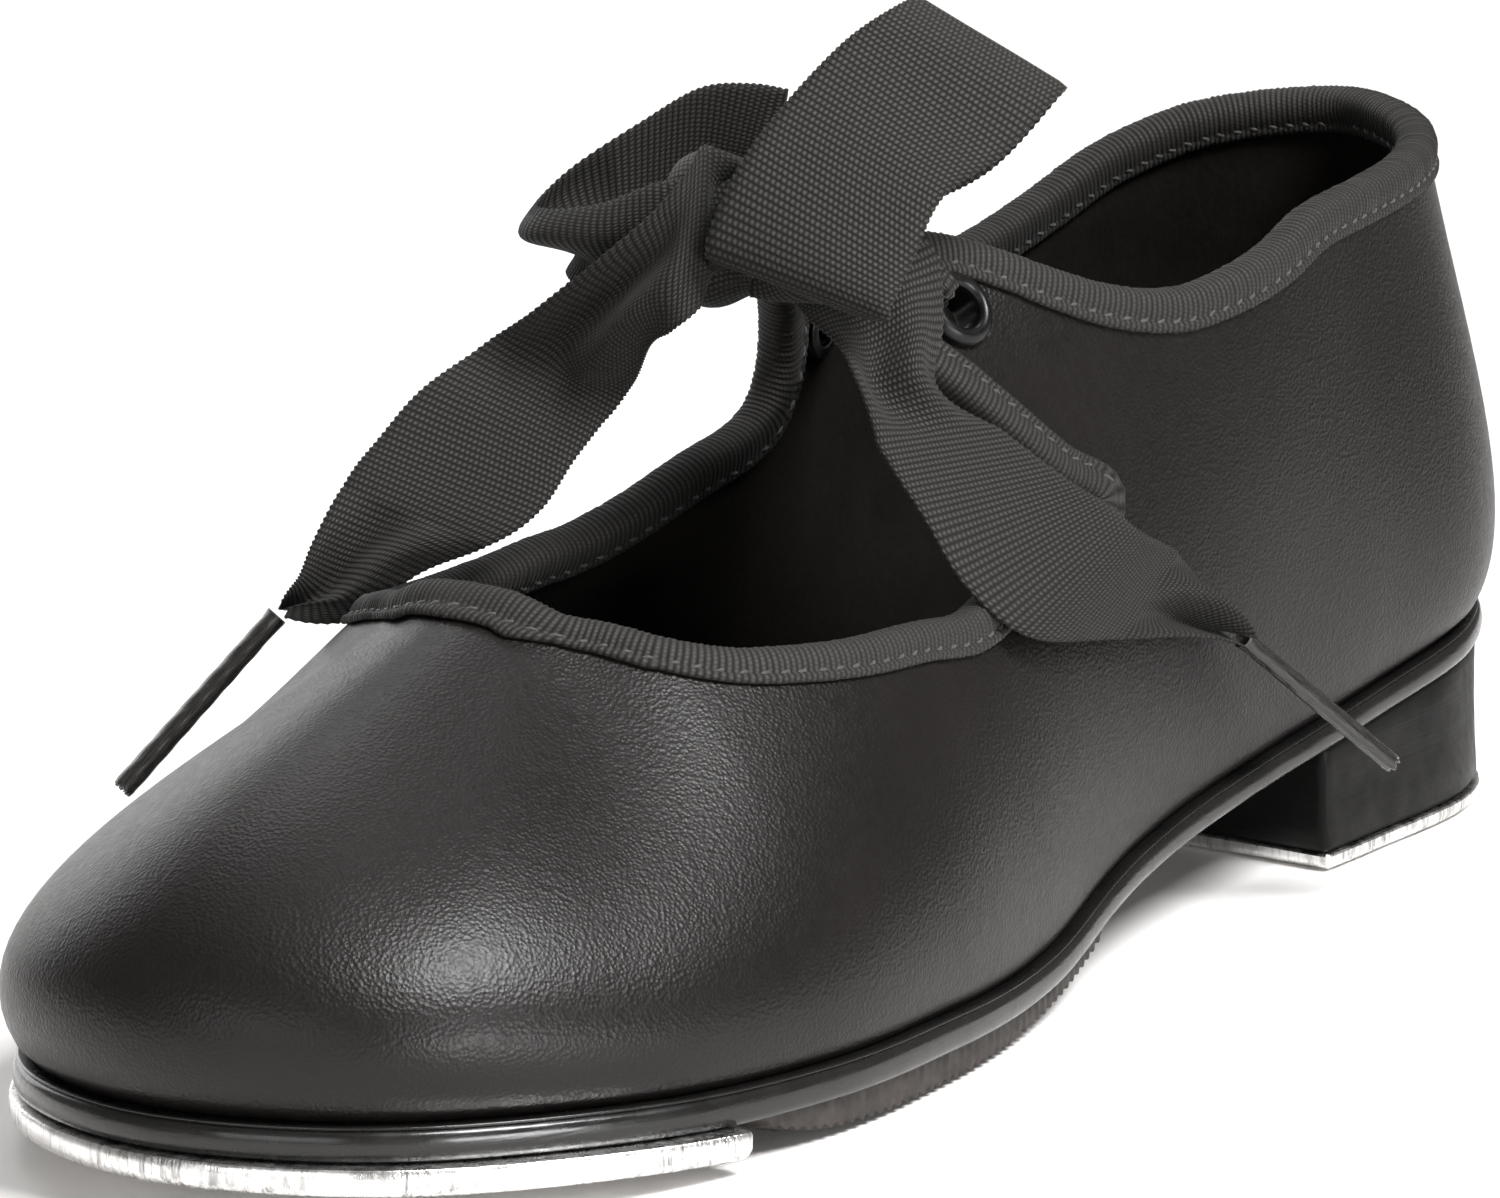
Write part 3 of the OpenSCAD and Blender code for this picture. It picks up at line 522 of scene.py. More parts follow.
def cast_metal():
    p = Paint("polished_metal", .24, Metallic=1)
    upright = p.scaled(p.place, (1, 1, .12))
    strokes = p.noise(1500, 4, .7, at=upright)
    patches = p.range(p.noise(75, 3), 0, 1, .38, .56)
    marks = p.math("MULTIPLY", p.range(strokes, 1, 0, .36, .56), patches)
    p.tint(marks, (0, (.93, .92, .91)), (.45, (.62, .61, .6)), (1, (.24, .24, .25)))
    p.rough(p.noise(600, 4), .2, .4)
    p.bump((p.noise(150, 4), .12), (p.math("MULTIPLY", strokes, patches), .12),
        (p.noise(3500, 3), .01))
    return p.m


def brushed(name, tone, rough):
    p = Paint(name, rough, Metallic=1)
    p.tint(p.noise(700, 4), (.3, grey(tone * .75)), (.7, grey(tone)))
    p.rough(p.noise(1500, 4), rough - .08, rough + .15)
    p.bump((p.noise(2600, 4), .015))
    return p.m


def black_enamel():
    p = Paint("black_enamel", .36, Specular_IOR_Level=.3)
    p.tint(p.noise(500, 3), (.3, grey(.002)), (.7, grey(.004)))
    p.rough(p.noise(1200, 3), .25, .4)
    return p.m


def board(name, dark, light):
    p = Paint(name, .9)
    p.tint(p.noise(900, 6, .7), (.35, dark), (.65, light))
    p.bump((p.noise(1800, 5, .7), .06))
    return p.m


def tip_plastic():
    p = Paint("tip_plastic", .2, Coat_Weight=.4, Coat_Roughness=.08, Specular_IOR_Level=.45)
    uv = p.node("UVMap", uv_map="cloth")
    streaks = p.noise(3.0, 4, .6, at=p.scaled(uv, (.12, 2.2, 1)))
    p.tint(streaks, (.35, grey(.007, .06)), (.68, grey(.03, .06)))
    p.rough(streaks, .14, .4, .3, .8)
    p.bump((streaks, .05), (p.noise(1500, 4), .03))
    return p.m


LEATHER = leather()
# the felts' dark tones include the painted shade in the crease hollows
LINING = felt("lining_felt", .0026, .0095, warm=.16)
SOCK = felt("sock_felt", .0025, .007, warm=.14, depth=.09)
# the ribbon's and the binding's dark and light tones are the painted groove shade and the painted
# knuckle highlight
RIBBON = woven("ribbon_weave", .0022, .033, RIB, .56, warm=.12)
TAPE = woven("binding_weave", .0038, .025, TAPE_RIB, .42, depth=.1, warm=.11, broken=.3)
THREAD = thread_paint()
SOLE = polished_sole("sole_edge", .005, .2, coat=.4, level=.3)
HEEL = polished_sole("heel_block", .003, .38, coat=0, level=.12)
RUBBER = rubber()
METAL = cast_metal()
SCREW = brushed("screw_steel", .62, .3)
STEEL = brushed("plain_steel", .5, .4)
WASHER = brushed("washer_steel", .3, .4)
ENAMEL = black_enamel()
TIP = tip_plastic()
BOARD = board("fibre_board", (.2, .13, .07), (.36, .26, .15))
STIFFENER = board("stiffener_board", (.3, .27, .21), (.46, .42, .35))
FILLER = board("cork_filler", (.12, .07, .035), (.3, .19, .1))

# ---- upper and lining ----

LOW_ROWS, TAB_ROWS, COLLAR_COLS, LIP_STEPS = 32, 20, 96, 8
ROWS = LOW_ROWS + TAB_ROWS


def flip(uv):
    return np.stack([STATIONS - uv[..., 0], uv[..., 1]], -1)


def open_curve(points, steps):
    return spline(points, np.arange((len(points) - 1) * steps + 1) / steps)


def quarter(collar, front):
    """(u, v) grid of a quarter panel, blended between its four sides."""
    i, j = np.meshgrid(np.arange(COLLAR_COLS + 1), np.arange(ROWS + 1), indexing="ij")
    r, s = i / COLLAR_COLS, j / ROWS
    top = spline(collar, r * (len(collar) - 1))
    low = np.asarray(front[0]) * np.stack([np.ones_like(s), j / LOW_ROWS], -1)
    high = spline(front, np.clip((j - LOW_ROWS) / TAB_ROWS, 0, 1) * (len(front) - 1))
    edge = np.where((j <= LOW_ROWS)[..., None], low, high)
    return r[..., None] * edge + s[..., None] * (top - r[..., None] * np.asarray(collar[-1]))


def vamp(lip):
    p = open_curve(lip, LIP_STEPS)
    v = np.minimum(np.arange(ROWS + 1) / LOW_ROWS, 1)
    return np.stack([np.broadcast_to(p[:, None, 0], (len(p), ROWS + 1)), p[:, None, 1] * v], -1)


COLUMNS = np.concatenate([quarter(COLLAR_OUTER, FRONT_OUTER), vamp(LIP_OUTER)[1:],
    flip(vamp(LIP_INNER))[-2:0:-1], flip(quarter(COLLAR_INNER, FRONT_INNER))[:0:-1]])
COLUMN_COUNT = len(COLUMNS)


def in_shell(i, j):
    return (j < LOW_ROWS) | (i < COLLAR_COLS) | (i >= COLUMN_COUNT - COLLAR_COLS)


def sheet_piece(name, near, deep, material, ripple=0):
    """Closed sheet of the shell's shape between two depths."""
    n, m = COLUMN_COUNT, ROWS + 1
    u, v = COLUMNS[..., 0], np.maximum(COLUMNS[..., 1], .003)
    wave = ripple * (np.sin(2.1 * u + 9 * v) * np.sin(13 * v - 1.3 * u)
        + .5 * np.sin(5.3 * u - 17 * v))
    wave = wave * smooth_step(v / .2)
    points = np.concatenate([inside(u, v, near), inside(u, v, deep + wave)]).reshape(-1, 3)
    quads, _, _ = lattice(n, m, wrap_i=True, keep=in_shell)
    half = n * m
    edges = {}
    for a, b in np.stack([quads.T, np.roll(quads, -1, 1).T], -1).reshape(-1, 2):
        edges[(a, b)] = edges.get((a, b), 0) + 1
    rim = [(b, a, a + half, b + half) for a, b in edges if (b, a) not in edges]
    faces = np.concatenate([quads, quads[:, ::-1] + half, np.array(rim)])
    obj = make(name, *tidy(points, faces), material)
    weld(obj, 1e-8)
    return obj


upper = sheet_piece("upper_leather", 0, UPPER_T, LEATHER)
lining = sheet_piece("lining_fabric", LINING_NEAR, LINING_NEAR + LINING_T, LINING, ripple=.12)


def to_shell(points, place):
    """Points about the Z axis moved to a place on the shell, Z along the shell's normal."""
    u, v = np.array(place[0], float), np.array(place[1], float)
    turn = Vector(shell_normal(u, v)).to_track_quat("Z", "X").to_matrix()
    return points @ np.array(turn).T + shell(u, v)


for sheet in (upper, lining):
    for place in (OUTER_EYELET, INNER_EYELET):
        p, f = revolve([(.001, -6), (EYELET_HOLE_R, -6), (EYELET_HOLE_R, 4), (.001, 4)], 48)
        cut(sheet, to_shell(p, place), f)

# ---- binding ----


def resample(points, pitch, closed=True, columns=slice(0, 3)):
    """An even count of rows spaced along a path, their arc lengths and the whole length."""
    p = np.asarray(points, float)
    ends = np.concatenate([p, p[:1]]) if closed else p
    s = arc_lengths(ends[:, columns])
    count = 2 * int(round(s[-1] / pitch / 2))
    at = np.linspace(0, s[-1], count + 1)[:count + (not closed)]
    return np.stack([np.interp(at, s, ends[:, k]) for k in range(ends.shape[1])], -1), at, s[-1]


def blur(p, rounds):
    for _ in range(rounds):
        p = .5 * p + .25 * (np.roll(p, 1, 0) + np.roll(p, -1, 0))
    return p


def half_topline(collar, front, lip):
    """From the heel along the collar, down the front of the tab and along the lip to the toe."""
    return np.concatenate([open_curve(collar, 24)[:-1], open_curve(front, 24)[:0:-1],
        open_curve(lip, 24)])


TOPLINE = np.concatenate([half_topline(COLLAR_OUTER, FRONT_OUTER, LIP_OUTER)[:-1],
    flip(half_topline(COLLAR_INNER, FRONT_INNER, LIP_INNER))[:0:-1]])


def topline_frame(pitch):
    """Even places along the topline: u, v, the way down the leather in space and in (u, v),
    and arc length."""
    both = np.concatenate([shell(TOPLINE[:, 0], TOPLINE[:, 1]), TOPLINE], 1)
    # u is unwrapped so that it can be averaged across the heel
    both[:, 3] = np.unwrap(both[:, 3], period=STATIONS)
    even, at, total = resample(both[:, :5], pitch)
    drift = np.linspace(0, STATIONS, len(even), endpoint=False)
    rounds = int(ROUNDING / pitch)
    even[:, 3] = blur(even[:, 3] - drift, rounds) + drift
    even[:, 4] = blur(even[:, 4], rounds)
    u, v = even[:, 3], even[:, 4]
    here, n = shell(u, v), shell_normal(u, v)
    t = unit(blur(np.roll(here, -1, 0) - np.roll(here, 1, 0), 2))
    down = unit(blur(unit(np.cross(n, t)), rounds))
    e, w = .01, np.minimum(v, .98)
    a = (shell(u + e, w) - shell(u - e, w)) / (2 * e)
    b = (shell(u, w + e) - shell(u, w - e)) / (2 * e)
    aa, ab, bb, ad, bd = ((p * q).sum(-1)
        for p, q in ((a, a), (a, b), (b, b), (a, down), (b, down)))
    step = np.stack([bb * ad - ab * bd, aa * bd - ab * ad], -1) / (aa * bb - ab**2)[:, None]
    return u, v, down, step, at, total


def on_topline(place, below, over):
    """Points at a distance below the topline and a height over the outer face."""
    u, v, down, step = place
    below, over = np.asarray(below), np.asarray(over)
    far = np.maximum(below, 0)
    uu, vv = u + step[..., 0] * far, v + step[..., 1] * far
    return (shell(uu, vv) + down * np.minimum(below, 0)[..., None]
        + shell_normal(uu, vv) * over[..., None])


TAPE_SECTION = [(3.3, .2), (3.52, .32), (3.46, .58), (3.15, .78), (2.8, .76), (2.45, .48),
    (2.1, .72), (1.5, .94), (.8, .98), (.15, .86), (-.35, .45), (-.68, -.15), (-.82, -.8),
    (-.84, -1.35), (-.75, -1.95), (-.5, -2.5), (-.05, -2.95), (.6, -3.15), (1.4, -3.18),
    (2.1, -3.05), (2.45, -2.9), (2.75, -3.02), (3.1, -3.0), (3.42, -2.82), (3.48, -2.6),
    (3.3, -2.5), (1.6, -2.5), (.1, -2.48), (-.08, -2.3), (-.08, 0), (.1, .18), (1.6, .2)]
TAPE_SEEN, TAPE_CENTRE = 26, (1.2, -1.15)  # the points after these lie against the leather


def binding_piece():
    u, v, down, step, at, total = topline_frame(TAPE_RIB / 2)
    section = np.array(TAPE_SECTION)
    n, m = len(u), len(section)
    girth = arc_lengths(np.r_[section, section[:1]])
    lift = np.where(np.arange(n) % 2 == 0, RIB_H, -RIB_H) + .025 * dice.standard_normal(n)
    seen = (np.arange(m) < TAPE_SEEN)[:, None]
    grown = section + unit(section - TAPE_CENTRE) * lift[:, None, None] * seen
    place = (u[:, None], v[:, None], down[:, None], step[:, None])
    points = on_topline(place, grown[..., 0], grown[..., 1])
    faces, ci, cj = lattice(n, m, True, True)
    loops_uv = np.stack([np.r_[at, total][ci], girth[cj]], -1)
    obj = make("binding_tape", points.reshape(-1, 3), faces, TAPE, loops_uv=loops_uv)
    return obj, total, girth[-1]


def stitch_piece():
    """A row of slanted threads on each side of the binding."""
    u, v, down, step, at, total = topline_frame(.4)
    rows = np.c_[np.unwrap(u, period=STATIONS), v, down, step].T
    count = int(total / STITCH_PITCH)
    rings, sides = 7, 6
    f = np.linspace(0, 1, rings)
    bow = np.sin(math.pi * f)
    quads, _, _ = lattice(rings, sides, wrap_j=True)
    one = quads.tolist() + [[*range(sides)], [*range((rings - 1) * sides, rings * sides)][::-1]]
    points, faces = [], []
    for over, sign in STITCH_ROWS:
        for k in range(count):
            slant = .26 + .06 * dice.standard_normal()
            s = (k + .5) * total / count + (f - .5) * STITCH_L + .08 * dice.standard_normal()
            if s[0] <= 1 or s[-1] >= total - 1:
                continue
            g = np.stack([np.interp(s, at, row, period=total) for row in rows], -1)
            below = STITCH_AT + (f - .5) * 2 * slant
            place = (g[:, 0], g[:, 1], g[:, 2:5], g[:, 5:7])
            line = on_topline(place, below, over + sign * (.16 * bow - .12))
            up = shell_normal(g[:, 0], g[:, 1]) * sign
            side = unit(np.cross(up, np.gradient(line, axis=0)))
            r = STITCH_R * (.35 + .65 * bow)[:, None]
            ring = [line + side * r * math.cos(a) + up * r * math.sin(a) for a in angles(sides)]
            base = len(points) * rings * sides
            points.append(np.stack(ring, 1).reshape(-1, 3))
            faces += [[base + x for x in face] for face in one]
    obj = make("binding_stitches", np.concatenate(points), faces, THREAD)
    weld(obj, 1e-9)
    return obj


binding, topline_length, tape_girth = binding_piece()
stitches = stitch_piece()

# ---- ribbon ----

RIBBON_COLUMNS = 19


def ribbon_piece(name, sections, seed, taut, ripple=.12, pleats=1.5, closed=False,
        width=RIBBON_W):
    """A ribbed ribbon through its edge sections. Where they are closer than taut, it pleats."""
    edges = np.asarray(sections, float).reshape(len(sections), 6)
    steps = np.arange((len(edges) if closed else len(edges) - 1) * 60 + (0 if closed else 1)) / 60
    path = spline(edges, steps, closed)
    mid = np.c_[(path[:, :3] + path[:, 3:]) / 2, path]
    even, at, total = resample(mid, RIB / 2, closed)
    a, b = even[:, 3:6], even[:, 6:9]
    if closed:
        along = np.roll(even[:, :3], -1, 0) - np.roll(even[:, :3], 1, 0)
    else:
        along = np.gradient(even[:, :3], axis=0)
    half = (a - b) / 2
    span = 2 * np.linalg.norm(half, axis=1)
    out = unit(np.cross(unit(along), unit(half)))
    for _ in range(6):
        soft = blur(out, 1)
        out = unit(soft if closed else np.r_[out[:1], soft[1:-1], out[-1:]])
    n = len(even)
    w = np.linspace(-1, 1, RIBBON_COLUMNS)
    extra = np.maximum(taut / span - 1, 0) ** FOLD_POWER
    fold = np.minimum(span / (math.pi * pleats) * extra * FOLD_GAIN, FOLD_MAX)
    s = at[:, None]
    wave = ripple * (np.sin(s / 9.0 + seed) * np.cos(1.8 * w + seed)
        + .5 * np.sin(s / 4.1 - 2 * seed + 2.4 * w))
    offset = fold[:, None] * np.sin(math.pi * pleats * w)[None] + wave
    between = np.arange(n)[:, None] % 2 == 1
    rib = np.where(between, -RIB_H, RIB_H)
    scallop = np.where(between, SCALLOP_IN, SCALLOP_OUT)
    thin = RIBBON_T / 2 * np.where(np.abs(w) > .97, .55, 1.0)
    bite = scallop * np.sign(w) * (np.abs(w) > .9)
    reach = half[:, None] * w[None, :, None] + unit(half)[:, None] * bite[..., None]
    middle = even[:, None, :3] + reach + out[:, None] * offset[..., None]
    thick = out[:, None] * (thin + rib)[..., None]
    grid = np.concatenate([middle + thick, (middle - thick)[:, ::-1]], 1)
    m = grid.shape[1]
    faces, ci, cj = lattice(n, m, closed, True)
    lane = np.r_[w, w[::-1], w[0]] * width / 2
    loops_uv = np.stack([np.r_[at, total][ci], lane[cj]], -1)
    if not closed:
        caps = strip_caps(n, m)
        faces = np.concatenate([faces, caps])
        loops_uv = np.concatenate([loops_uv, np.zeros((len(caps), 4, 2))])
    obj = make(name, grid.reshape(-1, 3), faces, RIBBON, loops_uv=loops_uv)
    weld(obj)
    return obj


loop_outer = ribbon_piece("bow_loop_outer", LOOP_OUTER, seed=.4, taut=15, ripple=.06)
loop_inner = ribbon_piece("bow_loop_inner", LOOP_INNER, seed=2.1, taut=12.5, pleats=1)
tail_outer = ribbon_piece("tail_outer_ribbon", LEAD_OUTER + TAIL_OUTER, seed=3.0, taut=15)
tail_inner = ribbon_piece("tail_inner_ribbon", LEAD_INNER + TAIL_INNER, seed=4.4, taut=15)


def knot_sections():
    top, foot = np.array(KNOT_TOP, float), np.array(KNOT_FOOT, float)
    up = unit(top - foot)
    bow = np.array([1.0, .12, 0])
    bow = unit(bow - up * (bow @ up))
    deep = np.cross(up, bow)
    centre = (top + foot) / 2
    rings = []
    for a in angles(12):
        p = centre + up * 6.6 * math.cos(a) + deep * 6 * math.sin(a)
        rings.append((p + bow * 4.6, p - bow * 4.6))
    return rings


knot = ribbon_piece("bow_knot_wrap", knot_sections(), seed=1.0, taut=10, ripple=.1, pleats=1,
    closed=True, width=KNOT_W)


def lifted(place, height):
    u, v = np.array(place[0], float), np.array(place[1], float)
    return tuple(shell(u, v) + height * shell_normal(u, v))


def strand_piece():
    """The ribbon gathered from the knot through both eyelets: a flattened, lobed tube."""
    foot = np.array(KNOT_FOOT, float)
    path = open_curve([foot + (2, 0, 1), lifted((5.83, .92), 1.9), lifted((5.73, .8), 2.0),
        lifted((5.71, .785), .6), lifted((5.715, .78), -1.2), lifted((5.72, .785), -4.5),
        (0, -66, 59), lifted(INNER_EYELET, -4.5), lifted(INNER_EYELET, -1.2),
        lifted(INNER_EYELET, 1.6), lifted(INNER_EYELET, 3), lifted((STATIONS - 4.85, .83), 2.6),
        lifted((STATIONS - 5.1, .93), 2.2), foot + (-2, 1, 1)], 20)
    along = unit(np.gradient(path, axis=0))
    wide = unit(np.cross(along, (.35, -.5, .8)))
    thin = np.cross(wide, along) * .5
    a = angles(30)
    r = STRAND_R * (1 + .16 * np.cos(5 * a))
    grid = (path[:, None] + wide[:, None] * (r * np.cos(a))[:, None]
        + thin[:, None] * (r * np.sin(a))[:, None])
    return closed_tube("bow_strand", grid, arc_lengths(path), .35, path[[0, -1]], RIBBON)


span = strand_piece()

# ---- ribbon tips ----


def tip_piece(name, sections, direction):
    """Wound film tip: a flattened tube with its overlap along one side and a ragged end."""
    a, b = np.array(sections[-1], float)
    start = (a + b) / 2
    d = unit(np.array(direction, float))
    across = unit(np.cross(d, (.3, .2, 1.0)))
    over = np.cross(across, d)
    rings, sides = 60, 40
    f = np.linspace(0, 1, rings)
    ang = angles(sides)
    # the film's overlap is a step in the radius at one angle
    step = .16 * (1 - ((ang + .6) % (2 * math.pi)) / (2 * math.pi))
    r = 1.12 + step[None] + .03 * np.sin(5 * f[:, None] * 9 + 3 * ang[None])
    r = r * (1 - .1 * smooth_step(f[:, None] / .06) * (1 - f[:, None]))
    r[-1] *= .93
    line = start + d * (TIP_START + f * TIP_L)[:, None]
    ragged = np.zeros((rings, sides))
    ragged[-2:] = dice.uniform(-.5, .15, sides)
    grid = (line[:, None] + across * (r * 1.08 * np.cos(ang))[..., None]
        + over * (r * .82 * np.sin(ang))[..., None] + d * ragged[..., None])
    # the tube is hollow at its end: the wall turns back inside
    centre = line[::-1][:TIP_WALL, None]
    back = centre + (grid[::-1][:TIP_WALL] - centre) * .8
    grid = np.concatenate([grid, back])
    along = np.arange(len(grid)) * TIP_L / rings
    return closed_tube(name, grid, along, .2, line[[0, -1 - TIP_WALL]], TIP)


tip_outer = tip_piece("tip_outer", TAIL_OUTER, TIP_OUTER_DIR)
tip_inner = tip_piece("tip_inner", TAIL_INNER, TIP_INNER_DIR)

# ---- sole unit ----


def sole_ring(inset, height):
    """Ring round the sole at an inset from its edge; height(y) gives z."""
    p = sole_outline(inset, steps=16)
    return np.c_[p, height(p[:, 1])]


def sole_piece():
    def part(f):
        return lambda y: under_z(y) + f * (seat_z(y) - under_z(y))
    profile = [(6, 0), (1.0, 0), (.52, .03), (.2, .1), (.03, .22), (-.05, .36), (-.04, .52),
        (.04, .66), (.16, .77), (.36, .85), (.62, .885), (.66, .9), (.6, .915), (.36, .93),
        (.32, .95), (.4, .98), (.6, 1), (1.2, 1), (3.4, 1)]
    rings = [sole_ring(inset, part(f)) for inset, f in profile]
    return loft("sole_unit", rings, SOLE, ladder(under_z), ladder(seat_z))


TOE_SLOPE = math.atan((SOLE_UNDER[0][1] - SOLE_UNDER[2][1]) / (SOLE_UNDER[2][0] - SOLE_UNDER[0][0]))
TAP_TOP = (SOLE_UNDER[2][0], SOLE_UNDER[2][1] - .1)
TAP_T, TAP_PROUD, TAP_BACK, TAP_ARC_Y, TAP_ARC_R = 2.7, 1.0, -136, -94, 46
TAP_SHIFT = .7  # the tap is nailed on a little towards the outer side
TOE_SCREWS = [(0, -166), (17, -148), (-17, -148)]
HEEL_SCREWS = [(0, 15), (13, -12), (-13, -12)]


def tap_point(x, y, z):
    """From the toe tap's own plane, z over its ground face, to the row frame."""
    s, c = math.sin(TOE_SLOPE), math.cos(TOE_SLOPE)
    dy, dz = y - TAP_TOP[0], z - TAP_T
    return np.stack([x, TAP_TOP[0] + dy * c + dz * s, TAP_TOP[1] - dy * s + dz * c], -1)


def shrink(loop, inset):
    """Moves a closed plan outline inwards."""
    t = np.roll(loop, -1, 0) - np.roll(loop, 1, 0)
    n = unit(np.stack([-t[:, 1], t[:, 0]], -1))
    area = .5 * np.sum(loop[:, 0] * np.roll(loop[:, 1], -1) - loop[:, 1] * np.roll(loop[:, 0], -1))
    return loop + n * inset * (1 if area > 0 else -1)


def tap_outline():
    p = sole_outline(-TAP_PROUD)
    p = p[p[:, 1] < TAP_BACK]
    left, right = p[-1], p[0]
    rear = np.linspace(left[0], right[0], 40)[1:-1]
    arc = TAP_ARC_Y - np.sqrt(np.maximum(TAP_ARC_R**2 - rear**2, 0))
    arc = np.minimum(arc, TAP_BACK)
    loop = np.r_[p, np.c_[rear, arc]] + (TAP_SHIFT, 0)
    even, _, _ = resample(loop, 1.0, True, slice(0, 2))
    return blur(even, 1)


def stack(name, rings, material):
    """Closed solid through rings, with one flat face at each end."""
    count, n = len(rings), len(rings[0])
    faces, _, _ = lattice(count, n, wrap_j=True)
    ends = [[*range(n)], [*range((count - 1) * n, count * n)][::-1]]
    obj = make(name, np.concatenate(rings), faces.tolist() + ends, material)
    weld(obj, 1e-7)
    return obj


def shade_by_angle(obj, degrees):
    obj.data.set_sharp_from_angle(angle=math.radians(degrees))


HEAD_D, HEAD_H, SHANK_D = 5.2, 1.42, 2.6


def tap_piece(name, loop, levels, screws, place):
    """A metal tap from its plan outline: levels are (inset, z), place maps to the row frame."""
    rings = []
    for inset, z in levels:
        q = shrink(loop, inset)
        rings.append(place(q[:, 0], q[:, 1], np.full(len(q), z)))
    obj = stack(name, rings, METAL)
    head, shank = HEAD_D / 2 + .05, SHANK_D / 2 + .03
    profile = [(.001, -1), (head, -1), (head, 0), (shank, HEAD_H), (shank, 5), (.001, 5)]
    for x, y in screws:
        p, f = revolve(profile, 40)
        cut(obj, place(p[:, 0] + x, p[:, 1] + y, p[:, 2]), f)
    shade_by_angle(obj, 35)
    return obj


HEEL_FRONT, HEEL_INSET, HEEL_TAP_INSET, HEEL_TAP_T = -22.5, .7, .4, 1.6


def heel_outline(inset):
    p = sole_outline(inset, -STATIONS / 2)
    p = p[p[:, 1] > HEEL_FRONT + inset]
    breast = np.linspace(p[-1], p[0], 50)[1:-1]
    # the breast is slightly hollow
    breast[:, 1] += .9 * np.sin(np.linspace(0, math.pi, len(breast)))
    even, _, _ = resample(np.r_[p, breast], .8, True, slice(0, 2))
    return blur(even, 1)


def flat_place(x, y, z):
    return np.stack([x, y, z], -1)


def heel_block_piece():
    loop = heel_outline(HEEL_INSET)
    low = HEEL_TAP_T + .05
    shapes = [(.8, 0), (.3, .015), (0, .06), (.12, .3), (.16, .55), (.08, .8), (0, .96), (.25, 1)]
    rings = []
    for inset, f in shapes:
        q = shrink(loop, inset)
        high = under_z(np.minimum(q[:, 1], 24.5)) - .05
        rings.append(np.c_[q, low + f * (high - low)])
    obj = stack("heel_block_solid", rings, HEEL)
    shade_by_angle(obj, 40)
    return obj


TOE_TAP_LEVELS = [(1.1, 0), (.75, .05), (.38, .3), (.12, .75), (0, 1), (-.02, 1.7), (0, 2.4),
    (.15, 2.62), (.4, TAP_T)]
HEEL_TAP_LEVELS = [(.9, 0), (.55, .05), (.2, .3), (.03, .65), (0, .9), (0, 1.4), (.15, 1.57),
    (.35, HEEL_TAP_T)]
PAD_PROFILE = [(-133.5, 3.8), (-131, 2.2), (-125, .7), (-116, .06), (-108, 0), (-98, 0),
    (-88, .4), (-78, 1.6), (-70, 3.2), (-67, 4.2)]
RIDGE_PITCH, RIDGE_H = 1.5, .34


def grip_pad_piece():
    """Rubber pad with ridges across its ground face and fine ribs up its sides."""
    edge = sole_outline(1.0)
    edge = edge[np.argsort(edge[:, 1])]
    right, left = edge[edge[:, 0] > 5], edge[edge[:, 0] < -5]
    y = np.arange(PAD_PROFILE[0][0] + .15, PAD_PROFILE[-1][0] - .1, RIDGE_PITCH / 6)
    xr, xl = np.interp(y, right[:, 1], right[:, 0]), np.interp(y, left[:, 1], left[:, 0])
    top = under_z(y) - .05
    base = np.minimum(table(PAD_PROFILE, y), top - .15)
    tooth = np.abs(((y / RIDGE_PITCH) % 1) * 2 - 1)
    ridge = RIDGE_H * smooth_step(tooth * 1.4 - .2)
    f = np.linspace(0, 1, 29)[None]
    x = xl[:, None] * (1 - f) + xr[:, None] * f
    rim = np.minimum(f, 1 - f) * (xr - xl)[:, None]
    low = base[:, None] + ridge[:, None] + .5 * (1 - smooth_step(rim / 1.6))
    low = np.minimum(low, top[:, None] - .1)
    notch = .12 * tooth[:, None]
    sides = np.stack([x, np.broadcast_to(y[:, None], x.shape), low], -1)
    sides[:, 0, 0] += notch[:, 0]
    sides[:, -1, 0] -= notch[:, 0]
    roof = sides.copy()
    roof[..., 2] = top[:, None]
    grid = np.concatenate([sides, roof[:, ::-1]], 1)
    n, m = grid.shape[:2]
    faces, _, _ = lattice(n, m, wrap_j=True)
    faces = np.concatenate([faces, strip_caps(n, m)])
    obj = make("grip_pad_rubber", grid.reshape(-1, 3), faces, RUBBER)
    weld(obj, 1e-7)
    shade_by_angle(obj, 50)
    return obj


def sock_piece():
    """Padded sock, crowned in the middle and rounded at its edge."""
    low, thick = 2.35, 1.4
    def level(z):
        return lambda y: seat_z(y) + z
    profile = [(8, low), (4.6, low), (4.35, low + .3), (4.35, low + .8), (4.7, low + 1.15),
        (5.6, low + thick - .05), (8, low + thick)]
    rings = [sole_ring(inset, level(z)) for inset, z in profile]
    return loft("sock_pad", rings, SOCK, ladder(level(low)), ladder(level(low + thick)))


sole = sole_piece()
toe_tap = tap_piece("toe_tap_plate", tap_outline(), TOE_TAP_LEVELS, TOE_SCREWS, tap_point)
heel_block = heel_block_piece()
heel_tap = tap_piece("heel_tap_plate", heel_outline(HEEL_TAP_INSET), HEEL_TAP_LEVELS, HEEL_SCREWS,
    flat_place)
grip_pad = grip_pad_piece()
sock = sock_piece()

# ---- eyelets and screws ----


def turned(name, profile, place, material):
    """A revolved piece set on the shell, its axis along the shell's normal."""
    profile = spline(profile, np.arange(len(profile) * 5) / 5, True)
    p, f = revolve(profile, 72)
    obj = make(name, to_shell(p, place), f, material)
    weld(obj, 1e-8)
    return obj


